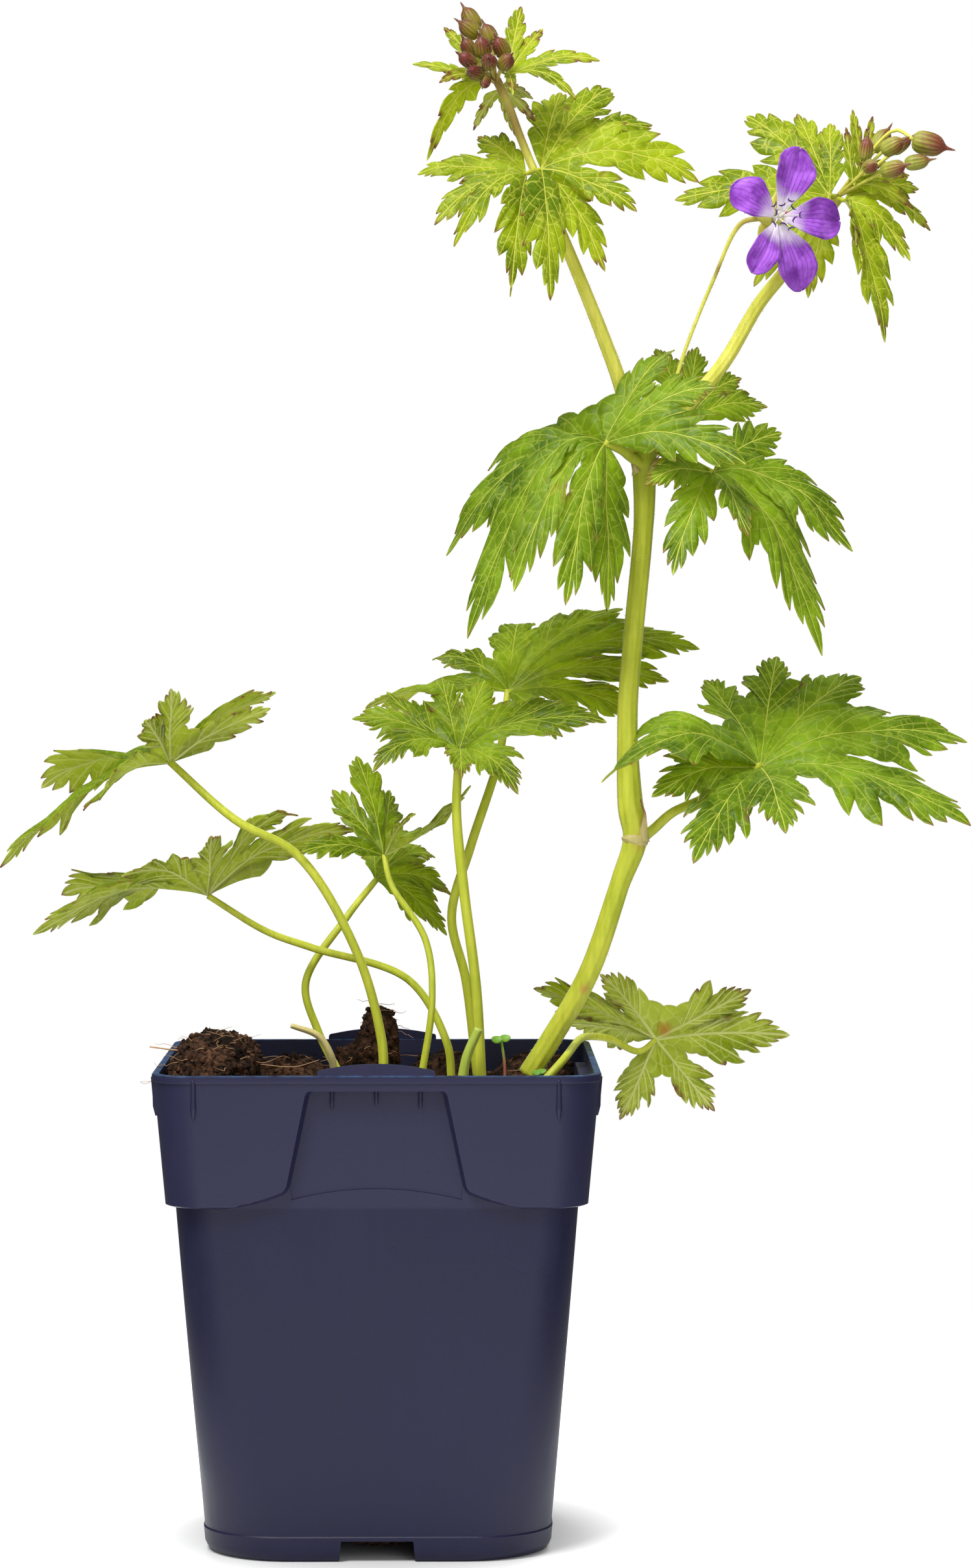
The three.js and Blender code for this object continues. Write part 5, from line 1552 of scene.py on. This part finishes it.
def make_soil():
    edge = soil_outline(collar_half(88), 88)
    rings = [soil_outline(body_half(z), z) if z < 73 else soil_outline(collar_half(z), z)
             for z in (FLOOR_UNDERSIDE + WALL + 0.2, 20, 40, 60, 72.9, 75, 86)]
    rings = [evenly_along(np.vstack([ring, ring[:1]]), len(edge), closed=True) for ring in rings]
    for k in range(SOIL_RINGS - 1):
        share = 1 - k / SOIL_RINGS
        drop = SOIL_EDGE_DROP * smooth(share * 14 - 13)
        rings.append(np.array([(x * share, y * share, soil_height(x * share, y * share) - drop)
                               for x, y, _ in edge]))
    soil = new_mesh("potting_soil_skin", *loft(rings), [compost])
    finish_piece(soil, "compost", "potting_soil")


def lumpy(place, subdivisions, squareness, roughness, seed, shape=None):
    """A ball pushed towards a block and roughened like torn compost."""
    centre, radii = place
    points, faces = round_ball(subdivisions)
    points = np.sign(points) * np.abs(points) ** squareness
    if shape:
        points = shape(points)
    spread = points * np.array(radii, float)
    bumps = 0
    for size, height in ((4.5, 1.2), (1.8, 0.9), (0.8, 0.5)):
        bumps = bumps + uneven(spread + seed, size) * height
    return spread + unit(spread) * (bumps * roughness)[:, None] + np.array(centre, float), faces


def with_small_head(points):
    """Makes the upper half of a ball into a narrower block, set to one side."""
    raised = smooth((points[:, 2] - 0.05) / 0.3)
    scale = 1 - 0.36 * raised
    return np.stack([points[:, 0] * scale + 0.36 * raised, points[:, 1] * scale, points[:, 2]], 1)


def make_lumps():
    mat = lumpy(ROOT_MAT, 6, squareness=0.74, roughness=1.0, seed=31)
    pot_wall = np.where(mat[0][:, 1] > -17.5, -39.9, -42.8)
    mat[0][:, 0] = np.maximum(mat[0][:, 0], pot_wall)
    make_round("root_mat_skin", [mat], compost, "compost", ["root_mat"])
    clump = lumpy(PEAT_CLUMP, 5, squareness=0.8, roughness=0.7, seed=7, shape=with_small_head)
    make_round("peat_clump_skin", [clump], compost, "compost", ["peat_clump"])
    points, faces = lumpy(ROOTSTOCK, 5, squareness=1.0, roughness=0.6, seed=3)
    points[:, 2] = np.minimum(points[:, 2], ROOTSTOCK_TOP + 0.5 * uneven(points, 3))
    make_round("rootstock_skin", [(points, faces)], compost, "rootstock", ["rootstock"])
    return mat[0], clump[0]


def make_crumbs(mat, clump):
    rng = random.Random(21)
    ball, faces = round_ball(1)
    shapes = []

    def crumb(where, size):
        stretch = np.array([rng.uniform(0.6, 1.3) for _ in range(3)]) * size
        jag = np.array([rng.uniform(0.6, 1.4) for _ in ball])[:, None]
        shapes.append((ball * jag * stretch + np.array(where), faces))

    for _ in range(SOIL_CRUMBS):
        x, y = rng.uniform(-40.5, 40.5), rng.uniform(-39.5, 40.5)
        if max(abs(x), abs(y)) > 39 and min(abs(x), abs(y)) < 19:
            continue
        crumb((x, y, soil_height(x, y) + 0.1), rng.choice((0.25, 0.4, 0.55, 0.9)))
    for points, number in ((mat, MAT_CRUMBS), (clump, CLUMP_CRUMBS)):
        upper = points[points[:, 2] > CRUMBS_ABOVE]
        for _ in range(number):
            crumb(upper[rng.randrange(len(upper))], rng.choice((0.2, 0.3, 0.45, 0.7)))
    make_round("compost_crumbs", shapes, compost, "compost")


def make_fibres(mat, clump):
    rng = random.Random(5)
    fibres = []

    def wander(start, reach, lift):
        points = [np.array(start, float)]
        turn = rng.uniform(0, 6.3)
        for _ in range(FIBRE_BENDS):
            turn += rng.uniform(-0.9, 0.9)
            step = np.array((math.cos(turn), math.sin(turn), rng.uniform(-lift, lift)))
            points.append(points[-1] + step * reach / FIBRE_BENDS)
        return points

    for points, number, longest, lift, radii, steps in (
        (mat[mat[:, 2] > 94], 70, 8, 0.5, (0.07, 0.055, 0.03), 14),
        (clump[clump[:, 2] > 93], 30, 6, 0.7, (0.08, 0.06, 0.03), 10),
    ):
        for _ in range(number):
            start = points[rng.randrange(len(points))]
            line = wander(start, rng.uniform(3, longest), lift)
            fibres.append(tube_shape(line, radii, sides=5, steps=steps))
    for _ in range(SOIL_FIBRES):
        x, y = rng.uniform(-36, 36), rng.uniform(-34, 36)
        line = wander((x, y, soil_height(x, y) + 0.4), rng.uniform(4, 9), 0.15)
        fibres.append(tube_shape(line, (0.08, 0.07, 0.04), sides=5, steps=12))
    straws = [tube_shape(line, (radius, radius, 0.7 * radius), sides=8, steps=30)
              for line, radius in STRAWS]
    make_round("root_fibres", fibres + straws, root_fibre, "compost")


def make_notch_pad():
    """The compost that shows through the notch at the front of the base; the lump under the floor also
    stands in for the shade in the notch's dark back.
    """
    pad = lumpy(NOTCH_PAD, 4, squareness=0.8, roughness=0.5, seed=50)
    pad[0][:, 2] = np.clip(pad[0][:, 2], 0.25, 4.9)
    make_round("compost_in_notch", [pad], compost, "compost")


make_soil()
mat_points, clump_points = make_lumps()
make_crumbs(mat_points, clump_points)
make_fibres(mat_points, clump_points)
make_notch_pad()


# ---------- camera, floor and light ----------

CAMERA_AT = (13.8, -928, 179.3)
CAMERA_DOWN = 1.4615
CAMERA_RIGHT = 0.5247
SENSOR_HEIGHT = 24
FOCAL_SHARE = 6879 / 2417
FLOOR_REACH = 0.7
FLOOR_WIDTH = 0.26
FLOOR_BRIGHT_FROM = (0.036, 0.07)
FLOOR_GLOW = 0.85
FLOOR_DIM_FROM = (0.05, 0.16)
LIGHT_TARGET = Vector((0.03, 0, 0.16))
WORLD_LIGHT = 0.46
WORLD_IN_REFLECTIONS = 0.14


def make_camera():
    camera = bpy.data.cameras.new("camera")
    camera.sensor_fit = "VERTICAL"
    camera.sensor_height = SENSOR_HEIGHT
    camera.lens = FOCAL_SHARE * SENSOR_HEIGHT
    camera.clip_start = 0.01
    holder = bpy.data.objects.new("camera", camera)
    holder.location = [c * MM for c in CAMERA_AT]
    holder.rotation_euler = (math.radians(90 - CAMERA_DOWN), 0, math.radians(-CAMERA_RIGHT))
    bpy.context.scene.collection.objects.link(holder)
    bpy.context.scene.camera = holder


def make_floor():
    """A pale disc that fades out towards its edge; reflections see little of it to the sides."""
    material, tree = new_material("pale_floor")
    where = add(tree, "TexCoord").outputs["Object"]
    centred = add(tree, "Mapping", {
        "Vector": where, "Location": (0.0, 0.3, 0.0), "Scale": (1 / FLOOR_WIDTH, 1 / FLOOR_REACH, 1.0),
    }).outputs[0]
    away = add(tree, "VectorMath", {0: centred}, operation="LENGTH").outputs["Value"]
    from_pot = add(tree, "VectorMath", {0: where}, operation="LENGTH").outputs["Value"]
    clear_of_pot = between(tree, from_pot, *FLOOR_BRIGHT_FROM, 0.0, FLOOR_GLOW)
    paper = add(tree, "BsdfPrincipled", {
        "Base Color": (0.55, 0.55, 0.55, 1), "Roughness": 0.8,
        "Emission Color": (1, 1, 1, 1), "Emission Strength": clear_of_pot,
    }).outputs[0]
    clear = add(tree, "BsdfTransparent").outputs[0]
    side = maths(tree, "ABSOLUTE", add(tree, "SeparateXYZ", {0: where}).outputs["X"])
    reflected = add(tree, "LightPath").outputs["Is Glossy Ray"]
    dimmed = maths(tree, "MULTIPLY", reflected, between(tree, side, *FLOOR_DIM_FROM, 0.0, 0.9))
    fade = maths(tree, "MAXIMUM", between(tree, away, 0.35, 1.0), dimmed)
    finish_material(material, add(tree, "MixShader", {0: fade, 1: paper, 2: clear}).outputs[0])
    bpy.ops.object.select_all(action="DESELECT")
    bpy.ops.mesh.primitive_circle_add(vertices=96, radius=FLOOR_REACH, fill_type="NGON")
    floor = bpy.context.active_object
    floor.name = "floor"
    floor.data.materials.append(material)


def soft_light(name, where, size, power, in_reflections=True):
    light = bpy.data.lights.new(name, "AREA")
    light.size = size
    light.energy = power
    holder = bpy.data.objects.new(name, light)
    holder.location = where
    aim = LIGHT_TARGET - Vector(where)
    holder.rotation_euler = aim.to_track_quat("-Z", "Y").to_euler()
    holder.visible_camera = False
    holder.visible_glossy = in_reflections
    bpy.context.scene.collection.objects.link(holder)


def make_light():
    """Softboxes in a room that looks white, gives soft light and is dim in reflections."""
    world = bpy.data.worlds.new("white_studio")
    world.use_nodes = True
    tree = world.node_tree
    rays = add(tree, "LightPath").outputs
    soft = between(tree, rays["Is Glossy Ray"], 0.0, 1.0, WORLD_LIGHT, WORLD_IN_REFLECTIONS)
    strength = maths(tree, "MAXIMUM", soft, rays["Is Camera Ray"])
    tree.links.new(strength, tree.nodes["Background"].inputs["Strength"])
    tree.nodes["Background"].inputs["Color"].default_value = (1, 1, 1, 1)
    bpy.context.scene.world = world
    soft_light("key_light", (-0.5, -0.8, 1.5), size=0.6, power=36)
    soft_light("front_light", (0.5, -1.4, 0.5), size=1.0, power=9, in_reflections=False)
    soft_light("back_light", (0.2, 1.2, 0.95), size=1.3, power=42, in_reflections=False)
    bpy.context.scene.view_settings.view_transform = "Standard"


make_camera()
make_floor()
make_light()
